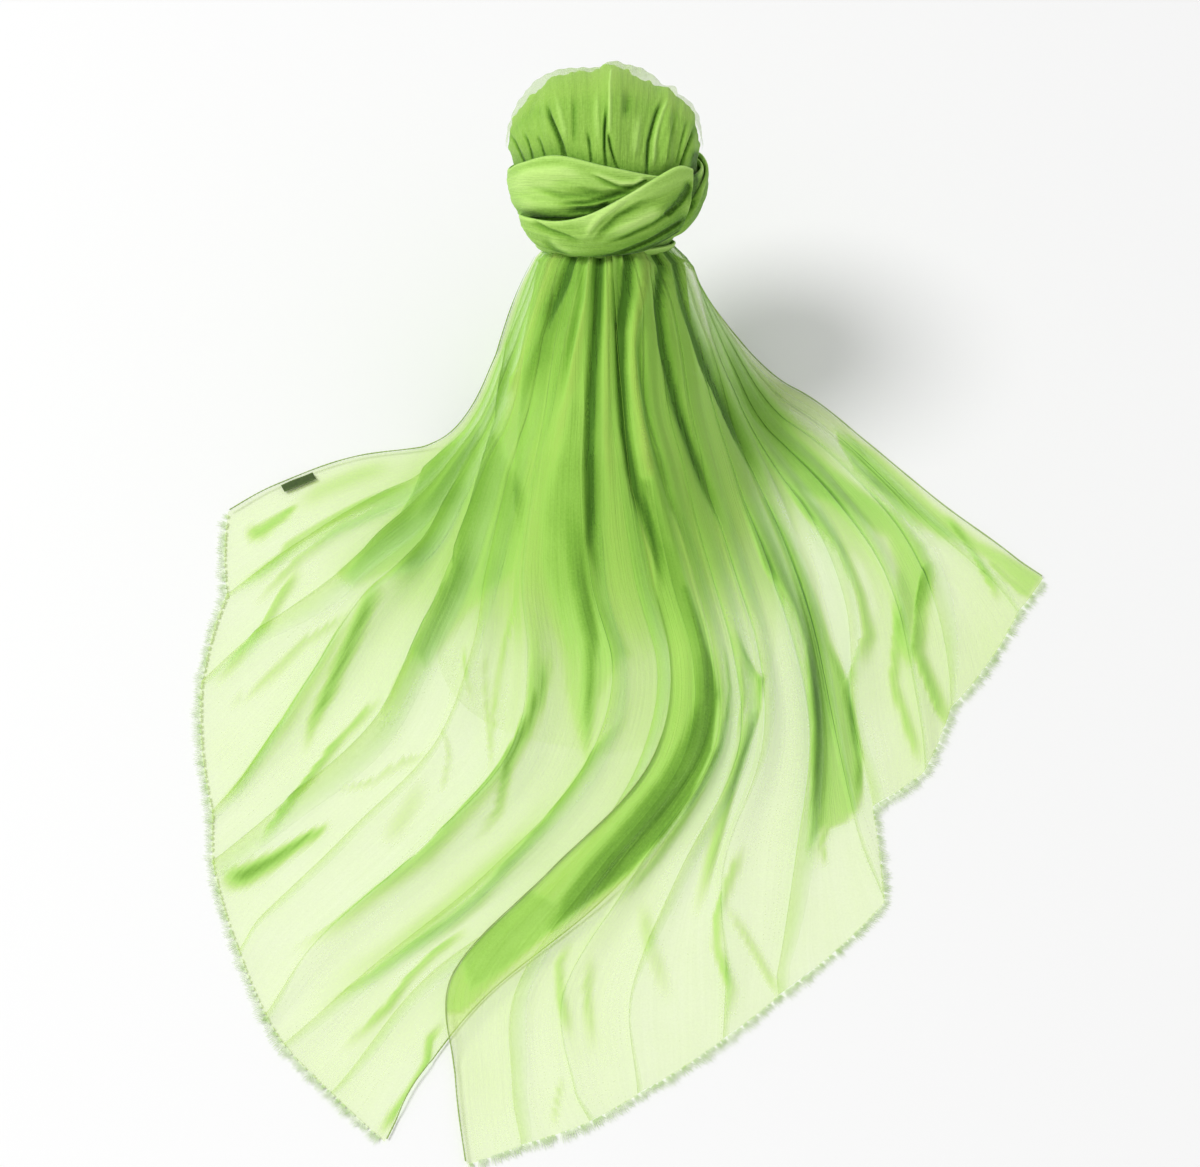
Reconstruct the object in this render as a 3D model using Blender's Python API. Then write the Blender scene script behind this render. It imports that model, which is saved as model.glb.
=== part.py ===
"""A sheer cashmere scarf, gathered in its middle, bound round with its own cloth and set down on a table.

The folded middle stands up as a pleated puff, the cloth is wound twice round its foot, and the two ends run
down from that neck and fan out flat over the table, the right one over the left one. The hidden layers under
the fan and at the back share one rounded solid, which stands on the table.

Metres, +Z up, the table at Z = 0, -Y towards the viewer. Lengths in the tables are millimetres.
"""

import math

import bpy
import bmesh
from mathutils import Vector

MM = 0.001

# The cloth as cut: one length with fringed short ends and rolled long edges.
CUT_WIDTH = 0.700
CUT_LENGTH = 2.000
WALL = 1.5 * MM
SEAM_GAP = 0.3 * MM
FRINGE_REACH = 6.0 * MM
HEM_RADIUS = 0.9 * MM

# Where the neck stands over the table, with the whole scarf centred on the origin.
NECK_FOOT_X = -14.0 * MM
NECK_FOOT_Y = 243.4 * MM

# The puff and its windings lean back from upright by this angle.
LEAN = math.radians(42.0)
NECK_HEIGHT = 137.4 * MM
NECK_BELOW_HEAD = 64.0 * MM
NECK_RADIUS = 45.5 * MM
NECK_BULGE = 8.0 * MM
HEAD_RADIUS = 61.5 * MM
HEAD_DROP = 74.5 * MM
HEAD_CUT = 57.0 * MM
BUNDLE_INSET = 1.2 * MM

# How the ends fall from the neck to the table, and how thick the heap of layers is in front of it.
FALL_POWER = 1.35
FOOT_SIDE = 115.0 * MM
FOOT_FRONT = 85.0 * MM
HEAP_HEIGHT = 18.0 * MM
HEAP_HALF_ANGLE = math.radians(55.0)
HEAP_NEAR = 60.0 * MM
HEAP_FULL = 120.0 * MM
HEAP_LENGTH = 300.0 * MM
LAYER_STEP = 4.6 * MM
STATIONS = 14

# Rings round the neck's foot, in mm. Each fold's row gives its bearing in degrees where it crosses each ring,
# 0 towards the viewer and positive to the right, and then where it meets the fringe.
RINGS = (90, 130, 180, 240, 310, 390, 470, 540)

# name, bearing round the neck, crest height in mm, reach in mm, bearing at the fringe, bearings on the rings
LEFT_FOLDS = (
    ("outer_hem", -92, 0, 277, -67, (-62, -66, -70, -69)),
    ("first", -78, 7, 307, -55, (-57, -57, -58, -57)),
    ("second", -67, 8, 360, -47, (-52, -51, -50, -48, -48)),
    ("third", -56, 12, 425, -36, (-46, -44, -41, -41, -38, -36)),
    ("fourth", -45, 12, 454, -33, (-37, -36, -33, -30, -28, -31)),
    ("swirl", -37, 7, 499, -27, (-30, -28, -25, -21, -20, -24, -27)),
    ("long", -27, 13, 531, -23, (-23, -20, -17, -12, -11, -17, -22)),
    ("inner", -12, 8, 545, -21, (-8, -6, -3, 1, -2, -10, -17)),
    ("covered", 2, 0, 565, -17, (2, 4, 6, 8, 4, -4, -13)),
    ("inner_hem", 18, 0, 587, -13, (13, 15, 16, 16, 12, 2, -8, -12)),
)
RIGHT_FOLDS = (
    ("inner_hem", 5, 0, 593, -8, (7, 7, 9, 8, 4, -7, -12, -10)),
    ("turned", 14, 3, 577, -5, (11, 12, 13, 12, 8, -2, -7, -6)),
    ("strip", 23, 5, 560, -1, (16, 17, 18, 17, 13, 3, -3, -2)),
    ("fine", 34, 9, 542, 2, (25, 23, 22, 20, 16, 7, 2)),
    ("sickle", 46, 11, 510, 8, (35, 30, 27, 24, 19, 11, 9)),
    ("tall", 60, 12, 487, 12.5, (47, 40, 35, 30, 25, 18, 13)),
    ("shelf", 70, 8, 445, 23, (57, 48, 41, 34, 28, 24)),
    ("hook", 78, 10, 381, 26.5, (66, 57, 50, 41, 31)),
    ("deep", 84, 9, 375, 33, (76, 67, 58, 50, 40)),
    ("corner", 91, 7, 348, 40, (86, 76, 66, 57, 46)),
    ("edge_fold", 98, 5, 333, 55, (95, 83, 71, 62, 57)),
    ("outer_hem", 104, 0, 334, 61, (102, 90, 76, 67, 62)),
)

# The heap's outline on the table: angle round the neck's foot, edge radius in mm, mirrored left to right.
HEAP_OUTLINE = (
    (0, 300),
    (22, 270),
    (42, 150),
    (62, 88),
    (90, 68),
    (130, 63),
    (180, 60),
)
HEAP_SINK = 3.6 * MM
HEAP_SIDES = 32
HEAP_LEVELS = 9
BACK_PLEATS = 11
BACK_PLEAT_DEPTH = 0.07

# The puff's outline from the front: degrees from its top, positive to the right, and radius in mm.
PUFF_LOBES = (
    (-90, 62),
    (-73, 66),
    (-60, 66),
    (-47, 70),
    (-35, 70),
    (-25, 68),
    (-17, 66),
    (-6, 61),
    (4, 67),
    (11, 66),
    (21, 63),
    (32, 63),
    (40, 67),
    (47, 64),
    (55, 67),
    (62, 67),
    (72, 65),
    (90, 62),
)
# The valleys that run up the puff from the windings: degrees from its top, depth in mm, half width in degrees.
PUFF_VALLEYS = (
    (-64, 2.0, 4),
    (-52, 2.0, 4),
    (-32, 5.0, 5),
    (-9, 3.5, 4),
    (5, 5.0, 4),
    (16, 2.0, 4),
    (28, 4.0, 4),
    (44, 2.5, 4),
    (58, 3.0, 4),
)
PUFF_RINGS = 34
PUFF_SIDES = 20

# The windings. Angles are degrees round the head, 0 in front and positive to the right.
# angle, lower edge in mm below the head's middle, upper edge in mm over it
BAND_UPPER = (
    (-180, -30, 8),
    (-90, -34, 1),
    (-60, -33, 8),
    (-30, -31, 16),
    (0, -31, 13),
    (30, -31, 5),
    (60, -31, 1),
    (120, -30, 6),
    (180, -30, 8),
)
BAND_CROSS = (
    (-84, -44, -31),
    (-60, -50, -28),
    (-30, -55, -26),
    (-10, -56, -21),
    (10, -55, -8),
    (28, -53, 4),
    (44, -47, 8),
    (60, -40, 5),
)
BAND_LOOP = (
    (66, -38, 2),
    (80, -42, 9),
    (100, -44, 9),
    (130, -48, 2),
    (180, -50, -6),
    (230, -45, -16),
    (270, -38, -26),
)
BAND_LOWER = (
    (-180, -58.5, -52),
    (0, -58.5, -52),
    (180, -58.5, -52),
)
BAND_WALL = 2.2 * MM
BAND_PLEAT = 0.9 * MM

LABEL_NEAR = 213.0 * MM
LABEL_LENGTH = 24.0 * MM
LABEL_WIDTH = 6.0 * MM
LABEL_THICK = 0.6 * MM
LABEL_INSET = 1.5 * MM

GREEN = (0.250, 0.500, 0.060, 1.0)
PALE_GREEN = (0.620, 0.820, 0.380, 1.0)
HEM_GREEN = (0.200, 0.290, 0.100, 1.0)
LABEL_GREEN = (0.050, 0.100, 0.015, 1.0)

HEAD_AXIS = Vector((0.0, math.sin(LEAN), math.cos(LEAN)))
HEAD_FRONT = Vector((0.0, -math.cos(LEAN), math.sin(LEAN)))
HEAD_RIGHT = Vector((1.0, 0.0, 0.0))
NECK_CENTRE = Vector((NECK_FOOT_X, NECK_FOOT_Y, NECK_HEIGHT))
HEAD_CENTRE = NECK_CENTRE + HEAD_AXIS * NECK_BELOW_HEAD


def clear_scene():
    for old in list(bpy.data.objects):
        bpy.data.objects.remove(old, do_unlink=True)


def cloth_material(name, colour, roughness):
    material = bpy.data.materials.new(name)
    material.use_nodes = True
    shader = material.node_tree.nodes["Principled BSDF"]
    shader.inputs["Base Color"].default_value = colour
    shader.inputs["Roughness"].default_value = roughness
    shader.inputs["Metallic"].default_value = 0.0
    material.diffuse_color = colour
    return material


def smooth_step(low, high, value):
    share = min(max((value - low) / (high - low), 0.0), 1.0)
    return share * share * (3.0 - 2.0 * share)


def curve_through(knots, value):
    """A smooth curve through (place, height) knots, which never overshoots its neighbours by much."""
    if value <= knots[0][0]:
        return knots[0][1]
    if value >= knots[-1][0]:
        return knots[-1][1]
    last = len(knots) - 1
    index = max(i for i in range(last) if knots[i][0] <= value)
    x0, y0 = knots[index]
    x1, y1 = knots[index + 1]
    before = knots[max(index - 1, 0)]
    after = knots[min(index + 2, last)]
    slope0 = (y1 - before[1]) / (x1 - before[0])
    slope1 = (after[1] - y0) / (after[0] - x0)
    span = x1 - x0
    s = (value - x0) / span
    return (
        (1 + 2 * s) * (1 - s) ** 2 * y0
        + s * (1 - s) ** 2 * span * slope0
        + s * s * (3 - 2 * s) * y1
        - s * s * (1 - s) * span * slope1
    )


def make_object(name, points, faces, material):
    """A named mesh object, with its faces turned outwards."""
    mesh = bpy.data.meshes.new(name)
    build = bmesh.new()
    corners = [build.verts.new(point) for point in points]
    for face in faces:
        build.faces.new([corners[index] for index in face])
    bmesh.ops.recalc_face_normals(build, faces=build.faces)
    build.to_mesh(mesh)
    build.free()
    mesh.materials.append(material)
    piece = bpy.data.objects.new(name, mesh)
    bpy.context.scene.collection.objects.link(piece)
    mesh.shade_smooth()
    mesh.set_sharp_from_angle(angle=math.radians(50))
    return piece


def sheet_faces(columns, rows, closed=False):
    """Faces of a wall: an upper grid of points, a lower grid after it, and the rim that joins them."""
    size = columns * rows
    faces = []
    wraps = columns if closed else columns - 1
    for i in range(wraps):
        for j in range(rows - 1):
            a, b = i * rows + j, ((i + 1) % columns) * rows + j
            faces.append((a, b, b + 1, a + 1))
            faces.append((size + a, size + a + 1, size + b + 1, size + b))
        for j in (0, rows - 1):
            a, b = i * rows + j, ((i + 1) % columns) * rows + j
            faces.append((a, size + a, size + b, b))
    if not closed:
        for i in (0, columns - 1):
            for j in range(rows - 1):
                a = i * rows + j
                faces.append((a, a + 1, size + a + 1, size + a))
    return faces


# ---- how the cloth falls from the neck ----


def neck_angle(bearing):
    """The angle round the leaning neck whose plan lies at this bearing."""
    return math.atan2(math.sin(bearing), math.cos(bearing) / math.cos(LEAN))


def neck_point(angle, radius=NECK_RADIUS, bulge=NECK_BULGE):
    """A place on the neck, which stands proud on the right, where the last folds leave the windings."""
    round_it = HEAD_RIGHT * math.sin(angle) + HEAD_FRONT * math.cos(angle)
    return NECK_CENTRE + round_it * (radius + bulge * max(math.sin(angle), 0.0) ** 4)


def plan_point(bearing, radius):
    return (
        NECK_FOOT_X + radius * math.sin(bearing),
        NECK_FOOT_Y - radius * math.cos(bearing),
    )


def foot_radius(bearing):
    """How far from the neck's foot the falling cloth reaches the table."""
    return FOOT_SIDE + FOOT_FRONT * max(math.cos(1.3 * bearing), 0.0)


def heap_height(bearing, radius):
    """The thickness of the hidden layers under the ends, largest in front of the neck."""
    turn = min(abs(bearing) / HEAP_HALF_ANGLE, 1.0)
    rise = min(max((radius - HEAP_NEAR) / (HEAP_FULL - HEAP_NEAR), 0.0), 1.0)
    fade = min(max(1.0 - (radius - HEAP_FULL) / HEAP_LENGTH, 0.0), 1.0)
    return HEAP_HEIGHT * math.cos(turn * math.pi / 2) ** 2 * rise * fade


def fall_height(bearing, radius, foot):
    start = neck_point(neck_angle(bearing))
    start_radius = math.hypot(start.x - NECK_FOOT_X, start.y - NECK_FOOT_Y)
    share = min(max((radius - start_radius) / (foot - start_radius), 0.0), 1.0)
    return start.z * (1.0 - share) ** FALL_POWER


def ground_height(bearing, radius):
    """The height of the cloth's underside before its own folds are added."""
    fall = fall_height(bearing, radius, foot_radius(bearing))
    return fall + heap_height(bearing, radius)


def steepness(bearing, radius):
    step = 2.0 * MM
    rise = ground_height(bearing, radius - step) - ground_height(bearing, radius + step)
    return math.hypot(1.0, rise / (2.0 * step))


def fold_path(row):
    """The bearing of a fold as a function of radius, from the neck to the fringe."""
    name, neck, crest, reach, end, bearings = row
    start = neck_point(math.radians(neck))
    start_radius = math.hypot(start.x - NECK_FOOT_X, start.y - NECK_FOOT_Y)
    start_bearing = math.degrees(math.atan2(start.x - NECK_FOOT_X, NECK_FOOT_Y - start.y))
    knots = [(start_radius, start_bearing)]
    knots += [(ring * MM, bearing) for ring, bearing in zip(RINGS, bearings)]
    knots.append((reach * MM, end))
    return start_radius, knots


LEFT_INNER_PATH = fold_path(LEFT_FOLDS[-1])[1]


def over_left_end(bearing, radius):
    """How far the right end is lifted where it lies on the left end."""
    edge = math.radians(curve_through(LEFT_INNER_PATH, radius))
    covers = 1.0 - smooth_step(4.0 * MM, 16.0 * MM, (bearing - edge) * radius)
    return LAYER_STEP * covers * steepness(bearing, radius)


def crest_share(along):
    """How a fold's height changes from the neck, over its tallest stretch, to the fringe."""
    return (0.25 + 0.75 * smooth_step(0.0, 0.35, along)) * (1.0 - 0.7 * smooth_step(0.45, 1.0, along))


def end_columns(folds):
    """Columns of the sheet: each fold's crest, its flanks and the valley to the next fold."""
    columns = []
    for index in range(len(folds) - 1):
        for share, near, far in ((0.0, 1.0, 0.0), (0.22, 0.5, 0.0), (0.5, 0.0, 0.0), (0.78, 0.0, 0.5)):
            columns.append((index, share, near, far))
    columns.append((len(folds) - 2, 1.0, 0.0, 1.0))
    return columns


def end_surface(folds, lifted):
    """The underside of one end: a column of (x, y, z) points for each place across the cloth."""
    paths = [fold_path(row) for row in folds]
    surface = []
    for index, share, near, far in end_columns(folds):
        points = []
        for station in range(STATIONS + 1):
            along = (station / STATIONS) ** 0.9
            sides = []
            for k in (index, index + 1):
                start, knots = paths[k]
                radius = start + (folds[k][3] * MM - start) * along
                sides.append((radius, curve_through(knots, radius)))
            radius = sides[0][0] * (1 - share) + sides[1][0] * share
            bearing = math.radians(sides[0][1] * (1 - share) + sides[1][1] * share)
            crest = (folds[index][2] * near + folds[index + 1][2] * far) * MM
            height = ground_height(bearing, radius) + crest * crest_share(along)
            if lifted:
                height += over_left_end(bearing, radius)
            x, y = plan_point(bearing, radius)
            thick = WALL * min(steepness(bearing, radius), 1.8)
            points.append((Vector((x, y, height)), thick))
        surface.append(points)
    return surface


def make_end(name, surface, material):
    upper = [point + Vector((0, 0, thick)) for column in surface for point, thick in column]
    lower = [point for column in surface for point, thick in column]
    faces = sheet_faces(len(surface), STATIONS + 1)
    return make_object(name, upper + lower, faces, material)


def make_fringe(name, surface, material):
    """The tufts' reach, as one thin strip along the cut edge."""
    edge = [column[-1][0] for column in surface]
    inner, outer = [], []
    for index, point in enumerate(edge):
        before = edge[max(index - 1, 0)]
        after = edge[min(index + 1, len(edge) - 1)]
        outward = Vector((after.y - before.y, before.x - after.x, 0.0)).normalized()
        inner.append(point + outward * 1.5 * SEAM_GAP)
        outer.append(point + outward * (1.5 * SEAM_GAP + FRINGE_REACH))
    rise = Vector((0, 0, WALL * 0.8))
    upper = [point + rise for pair in zip(inner, outer) for point in pair]
    lower = [point for pair in zip(inner, outer) for point in pair]
    return make_object(name, upper + lower, sheet_faces(len(surface), 2), material)


def make_hem(name, surface, column, side, material):
    """The rolled long edge, as a thin cord beside the sheet's edge."""
    edge = [point for point, thick in surface[column]]
    path = []
    for index, point in enumerate(edge):
        before = edge[max(index - 1, 0)]
        after = edge[min(index + 1, len(edge) - 1)]
        run = Vector((after.x - before.x, after.y - before.y, 0.0)).normalized()
        outward = Vector((run.y, -run.x, 0.0)) * side
        rise = Vector((0, 0, HEM_RADIUS + 0.1 * MM))
        path.append(point + outward * (HEM_RADIUS + SEAM_GAP) + rise)
    path[-1] = path[-1].lerp(path[-2], 0.2)
    curve = bpy.data.curves.new(name, "CURVE")
    curve.dimensions = "3D"
    curve.bevel_depth = HEM_RADIUS
    curve.bevel_resolution = 0
    curve.use_fill_caps = True
    spline = curve.splines.new("POLY")
    spline.points.add(len(path) - 1)
    for place, point in zip(spline.points, path):
        place.co = (*point, 1.0)
    curve.materials.append(material)
    piece = bpy.data.objects.new(name, curve)
    bpy.context.scene.collection.objects.link(piece)
    return piece


def make_label(surface, material):
    """The small woven label, lying on the left end along its outer hem."""
    hem = [point for point, thick in surface[0]]
    inside = [point for point, thick in surface[1]]

    def on_edge(radius):
        for a, b in zip(hem, hem[1:]):
            ra = math.hypot(a.x - NECK_FOOT_X, a.y - NECK_FOOT_Y)
            rb = math.hypot(b.x - NECK_FOOT_X, b.y - NECK_FOOT_Y)
            if ra <= radius <= rb:
                return a.lerp(b, (radius - ra) / (rb - ra))
        return hem[-1].copy()

    near, far = on_edge(LABEL_NEAR), on_edge(LABEL_NEAR + LABEL_LENGTH)
    run = (far - near).normalized()
    inward = Vector((-run.y, run.x, 0.0))
    if inward.dot(inside[-3] - hem[-3]) < 0:
        inward = -inward
    bottom = WALL + 2 * SEAM_GAP
    corners = []
    for height in (bottom + LABEL_THICK, bottom):
        for start in (near, far):
            for depth in (LABEL_INSET, LABEL_INSET + LABEL_WIDTH):
                place = start + inward * depth
                corners.append(Vector((place.x, place.y, height)))
    return make_object("label", corners, sheet_faces(2, 2), material)


# ---- the hidden layers ----


def heap_edge(angle):
    return curve_through(HEAP_OUTLINE, abs(math.degrees(angle))) * MM


def heap_ring(level):
    """One ring of the hidden layers' solid, from the neck (level 0) to the table (the last level)."""
    ring = []
    share = level / HEAP_LEVELS
    for side in range(HEAP_SIDES):
        angle = -math.pi + 2 * math.pi * side / HEAP_SIDES
        start = neck_point(neck_angle(angle), NECK_RADIUS - 3.5 * MM)
        start_radius = math.hypot(start.x - NECK_FOOT_X, start.y - NECK_FOOT_Y)
        edge = heap_edge(angle)
        behind = smooth_step(math.radians(80), math.radians(115), abs(angle))
        flute = 1.0 + BACK_PLEAT_DEPTH * behind * share * math.cos(BACK_PLEATS * angle)
        front_radius = start_radius + (edge - start_radius) * share
        foot = min(foot_radius(angle), edge)
        top = fall_height(angle, front_radius, foot)
        rounded = math.sqrt(max(1.0 - share**6, 0.0))
        heap = heap_height(angle, front_radius)
        sink = HEAP_SINK * min(steepness(angle, front_radius), 1.8)
        front_height = max((top + heap) * rounded - sink, 0.0)
        back_radius = start_radius + (edge - start_radius) * share**1.6
        back_height = (start.z - 3.0 * MM) * (1.0 - share)
        if level == HEAP_LEVELS:
            front_height = back_height = 0.0
        radius = (front_radius * (1 - behind) + back_radius * behind) * flute
        height = front_height * (1 - behind) + back_height * behind
        x, y = plan_point(angle, radius)
        ring.append(Vector((x, y, height)))
    return ring


def make_inner_folds(material):
    """The hidden layers: a stem in the windings, the fall to the table and the heap in front."""
    rings = []
    into_windings = HEAD_AXIS * (NECK_BELOW_HEAD - HEAD_CUT - 1.0 * MM)
    below_rim = HEAD_AXIS * -1.0 * MM
    stem = ((into_windings, 34.0 * MM, 0.0), (below_rim, NECK_RADIUS - 0.5 * MM, NECK_BULGE))
    for rise, radius, bulge in stem:
        ring = []
        for side in range(HEAP_SIDES):
            angle = neck_angle(-math.pi + 2 * math.pi * side / HEAP_SIDES)
            ring.append(neck_point(angle, radius, bulge) + rise)
        rings.append(ring)
    rings += [heap_ring(level) for level in range(1, HEAP_LEVELS + 1)]
    points = [point for ring in rings for point in ring]
    faces = []
    for level in range(len(rings) - 1):
        for side in range(HEAP_SIDES):
            after = (side + 1) % HEAP_SIDES
            a, b = level * HEAP_SIDES, (level + 1) * HEAP_SIDES
            faces.append((a + side, a + after, b + after, b + side))
    faces.append(tuple(range(HEAP_SIDES)))
    last = (len(rings) - 1) * HEAP_SIDES
    faces.append(tuple(last + side for side in range(HEAP_SIDES)))
    return make_object("inner_folds", points, faces, material)


# ---- the head: puff and windings ----


def head_point(across, front, up):
    return HEAD_CENTRE + HEAD_RIGHT * across + HEAD_FRONT * front + HEAD_AXIS * up


def ball_radius(up):
    """The radius of the bundled cloth inside the windings."""
    if up >= 0.0:
        return HEAD_RADIUS
    return HEAD_RADIUS * math.sqrt(1.0 - (up / HEAD_DROP) ** 2)


def make_crown(material):
    """The pleated puff: arches of cloth from front to back, gathered into a ball inside the windings."""
    winding_edge = [(angle, high) for angle, low, high in BAND_UPPER]
    points = []
    for ring in range(1, PUFF_RINGS):
        turn = math.pi * ring / PUFF_RINGS
        tilt = math.degrees(turn) - 90.0
        bundle = HEAD_RADIUS - BUNDLE_INSET
        lobe = curve_through(PUFF_LOBES, tilt) * MM - bundle
        dip = sum(depth * math.exp(-(((tilt - middle) / half) ** 2)) for middle, depth, half in PUFF_VALLEYS)
        for side in range(PUFF_SIDES):
            angle = 2 * math.pi * side / PUFF_SIDES
            across, front = -math.cos(turn), math.sin(turn) * math.cos(angle)
            up = math.sin(turn) * math.sin(angle)
            if up >= 0.0:
                edge = curve_through(winding_edge, math.degrees(math.atan2(across, front))) * MM
                above = up * HEAD_RADIUS - edge
                free = smooth_step(2.5 * MM, 16.0 * MM, above)
                fade = 1.0 - smooth_step(0.55, 1.0, math.sin(angle))
                radius = bundle + (lobe - dip * MM * fade) * free
                points.append(head_point(across * radius, front * radius, up * radius))
            else:
                height = max(up * HEAD_DROP, -HEAD_CUT)
                points.append(head_point(across * bundle, front * bundle, height))
    faces = []
    for ring in range(PUFF_RINGS - 2):
        for side in range(PUFF_SIDES):
            after = (side + 1) % PUFF_SIDES
            a, b = ring * PUFF_SIDES, (ring + 1) * PUFF_SIDES
            faces.append((a + side, a + after, b + after, b + side))
    faces.append(tuple(range(PUFF_SIDES)))
    last = (PUFF_RINGS - 2) * PUFF_SIDES
    faces.append(tuple(last + side for side in range(PUFF_SIDES)))
    return make_object("crown", points, faces, material)


def make_band(name, rows, layer, steps, across, pleats, material):
    """One stretch of the winding: a wall round the ball, with lengthwise pleats on its outside."""
    start, stop = rows[0][0], rows[-1][0]
    closed = stop - start >= 360
    count = steps if closed else steps + 1
    lower_edge = [(angle, low) for angle, low, high in rows]
    upper_edge = [(angle, high) for angle, low, high in rows]
    outer, inner = [], []
    for step in range(count):
        degrees = start + (stop - start) * step / steps
        angle = math.radians(degrees)
        low = curve_through(lower_edge, degrees) * MM
        high = curve_through(upper_edge, degrees) * MM
        for j in range(across + 1):
            share = j / across
            up = low + (high - low) * share
            base = ball_radius(up) + 0.7 * MM + layer
            swell = math.sin(math.pi * share)
            pleat = BAND_PLEAT * math.sin(pleats * math.pi * share + 1.3 * math.sin(angle)) * swell
            thick = BAND_WALL + 1.2 * MM * swell + pleat
            for store, radius in ((outer, base + thick), (inner, base)):
                store.append(head_point(radius * math.sin(angle), radius * math.cos(angle), up))
    return make_object(name, outer + inner, sheet_faces(count, across + 1, closed), material)


def main():
    clear_scene()
    sheer = cloth_material("sheer_cloth", PALE_GREEN, 0.75)
    gathered = cloth_material("gathered_cloth", GREEN, 0.75)
    rolled = cloth_material("rolled_hem", HEM_GREEN, 0.80)
    tufts = cloth_material("fringe", PALE_GREEN, 0.85)
    woven = cloth_material("woven_label", LABEL_GREEN, 0.60)

    left = end_surface(LEFT_FOLDS, lifted=False)
    right = end_surface(RIGHT_FOLDS, lifted=True)
    make_end("left_end", left, sheer)
    make_end("right_end", right, sheer)
    make_fringe("fringe_left", left, tufts)
    make_fringe("fringe_right", right, tufts)
    make_hem("hem_left_outer", left, 0, 1, rolled)
    make_hem("hem_left_inner", left, -1, -1, rolled)
    make_hem("hem_right_inner", right, 0, 1, rolled)
    make_hem("hem_right_outer", right, -1, -1, rolled)
    make_label(left, woven)

    make_inner_folds(gathered)
    make_crown(gathered)
    make_band("band_upper", BAND_UPPER, 0.0, 30, 6, 4, gathered)
    make_band("band_lower", BAND_LOWER, 0.0, 24, 2, 2, gathered)
    second_layer = BAND_WALL + 2.8 * MM
    make_band("band_cross", BAND_CROSS, second_layer, 16, 7, 5, gathered)
    make_band("band_loop", BAND_LOOP, second_layer, 18, 5, 4, gathered)


main()
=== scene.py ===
# %% [markdown]
# # A sheer cashmere scarf, set down for a shelf picture
#
# One long piece of featherweight cloth is gathered in its middle into a pleated puff, bound round twice with
# itself, and stood on a table, so that its two fringed ends run down from the neck and fan out flat.
# The cloth is so thin that its colour comes from how many layers lie on each other: one is nearly white, three
# are leaf green, and the gathered neck is deep green. So the folds are modelled as real overlapping layers. On
# top of that count, painted shade is laid along folds, creases and hollows, and painted highlights along ridges.
# The script loads the imported solids as a fixed frame and dresses each of them.

import math

import bpy
import numpy as np
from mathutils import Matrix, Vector


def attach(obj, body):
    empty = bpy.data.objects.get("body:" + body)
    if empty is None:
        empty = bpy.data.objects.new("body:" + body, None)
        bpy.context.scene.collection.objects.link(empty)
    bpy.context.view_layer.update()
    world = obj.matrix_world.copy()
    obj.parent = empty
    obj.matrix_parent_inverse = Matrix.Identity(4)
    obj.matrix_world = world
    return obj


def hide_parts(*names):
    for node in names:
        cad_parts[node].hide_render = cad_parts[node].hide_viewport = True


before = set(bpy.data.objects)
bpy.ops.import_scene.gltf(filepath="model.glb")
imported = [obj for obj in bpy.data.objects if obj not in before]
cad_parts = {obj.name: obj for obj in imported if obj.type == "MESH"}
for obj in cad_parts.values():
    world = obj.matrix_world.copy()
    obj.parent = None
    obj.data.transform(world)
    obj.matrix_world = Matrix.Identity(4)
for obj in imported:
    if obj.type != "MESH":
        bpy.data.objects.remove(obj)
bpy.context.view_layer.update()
print("solids:", sorted(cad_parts))

# %% [markdown]
# ## Sizes and fold rows
# These numbers repeat the solids' own: the neck, the lean of the head, and the rows that say where each fold of
# an end runs. A fold is given by its bearing round the neck's foot on a few rings, as a pattern cutter would mark
# it on a round table. Each row here adds what only the looks need: how far a fold overlaps at the fringe, and how
# many layers of cloth are gathered there near the neck, halfway, further out and at the fringe.

# %% Sizes of the scarf
MM = 0.001
NECK_FOOT = np.array([-14.0, 243.4]) * MM
LEAN = math.radians(42.0)
NECK_HEIGHT = 137.4 * MM
NECK_BELOW_HEAD = 64.0 * MM
NECK_RADIUS = 45.5 * MM
NECK_BULGE = 8.0 * MM
HEAD_RADIUS = 61.5 * MM
HEAD_DROP = 74.5 * MM
FALL_POWER = 1.35
FALL_EASE = 0.22
FOOT_SIDE = 115.0 * MM
FOOT_FRONT = 85.0 * MM
HEAP_HEIGHT = 18.0 * MM
HEAP_HALF_ANGLE = math.radians(55.0)
HEAP_NEAR = 60.0 * MM
HEAP_FULL = 120.0 * MM
HEAP_LENGTH = 300.0 * MM
LAYER_STEP = 4.6 * MM
RINGS = (90, 130, 180, 240, 310, 390, 470, 540)

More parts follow.
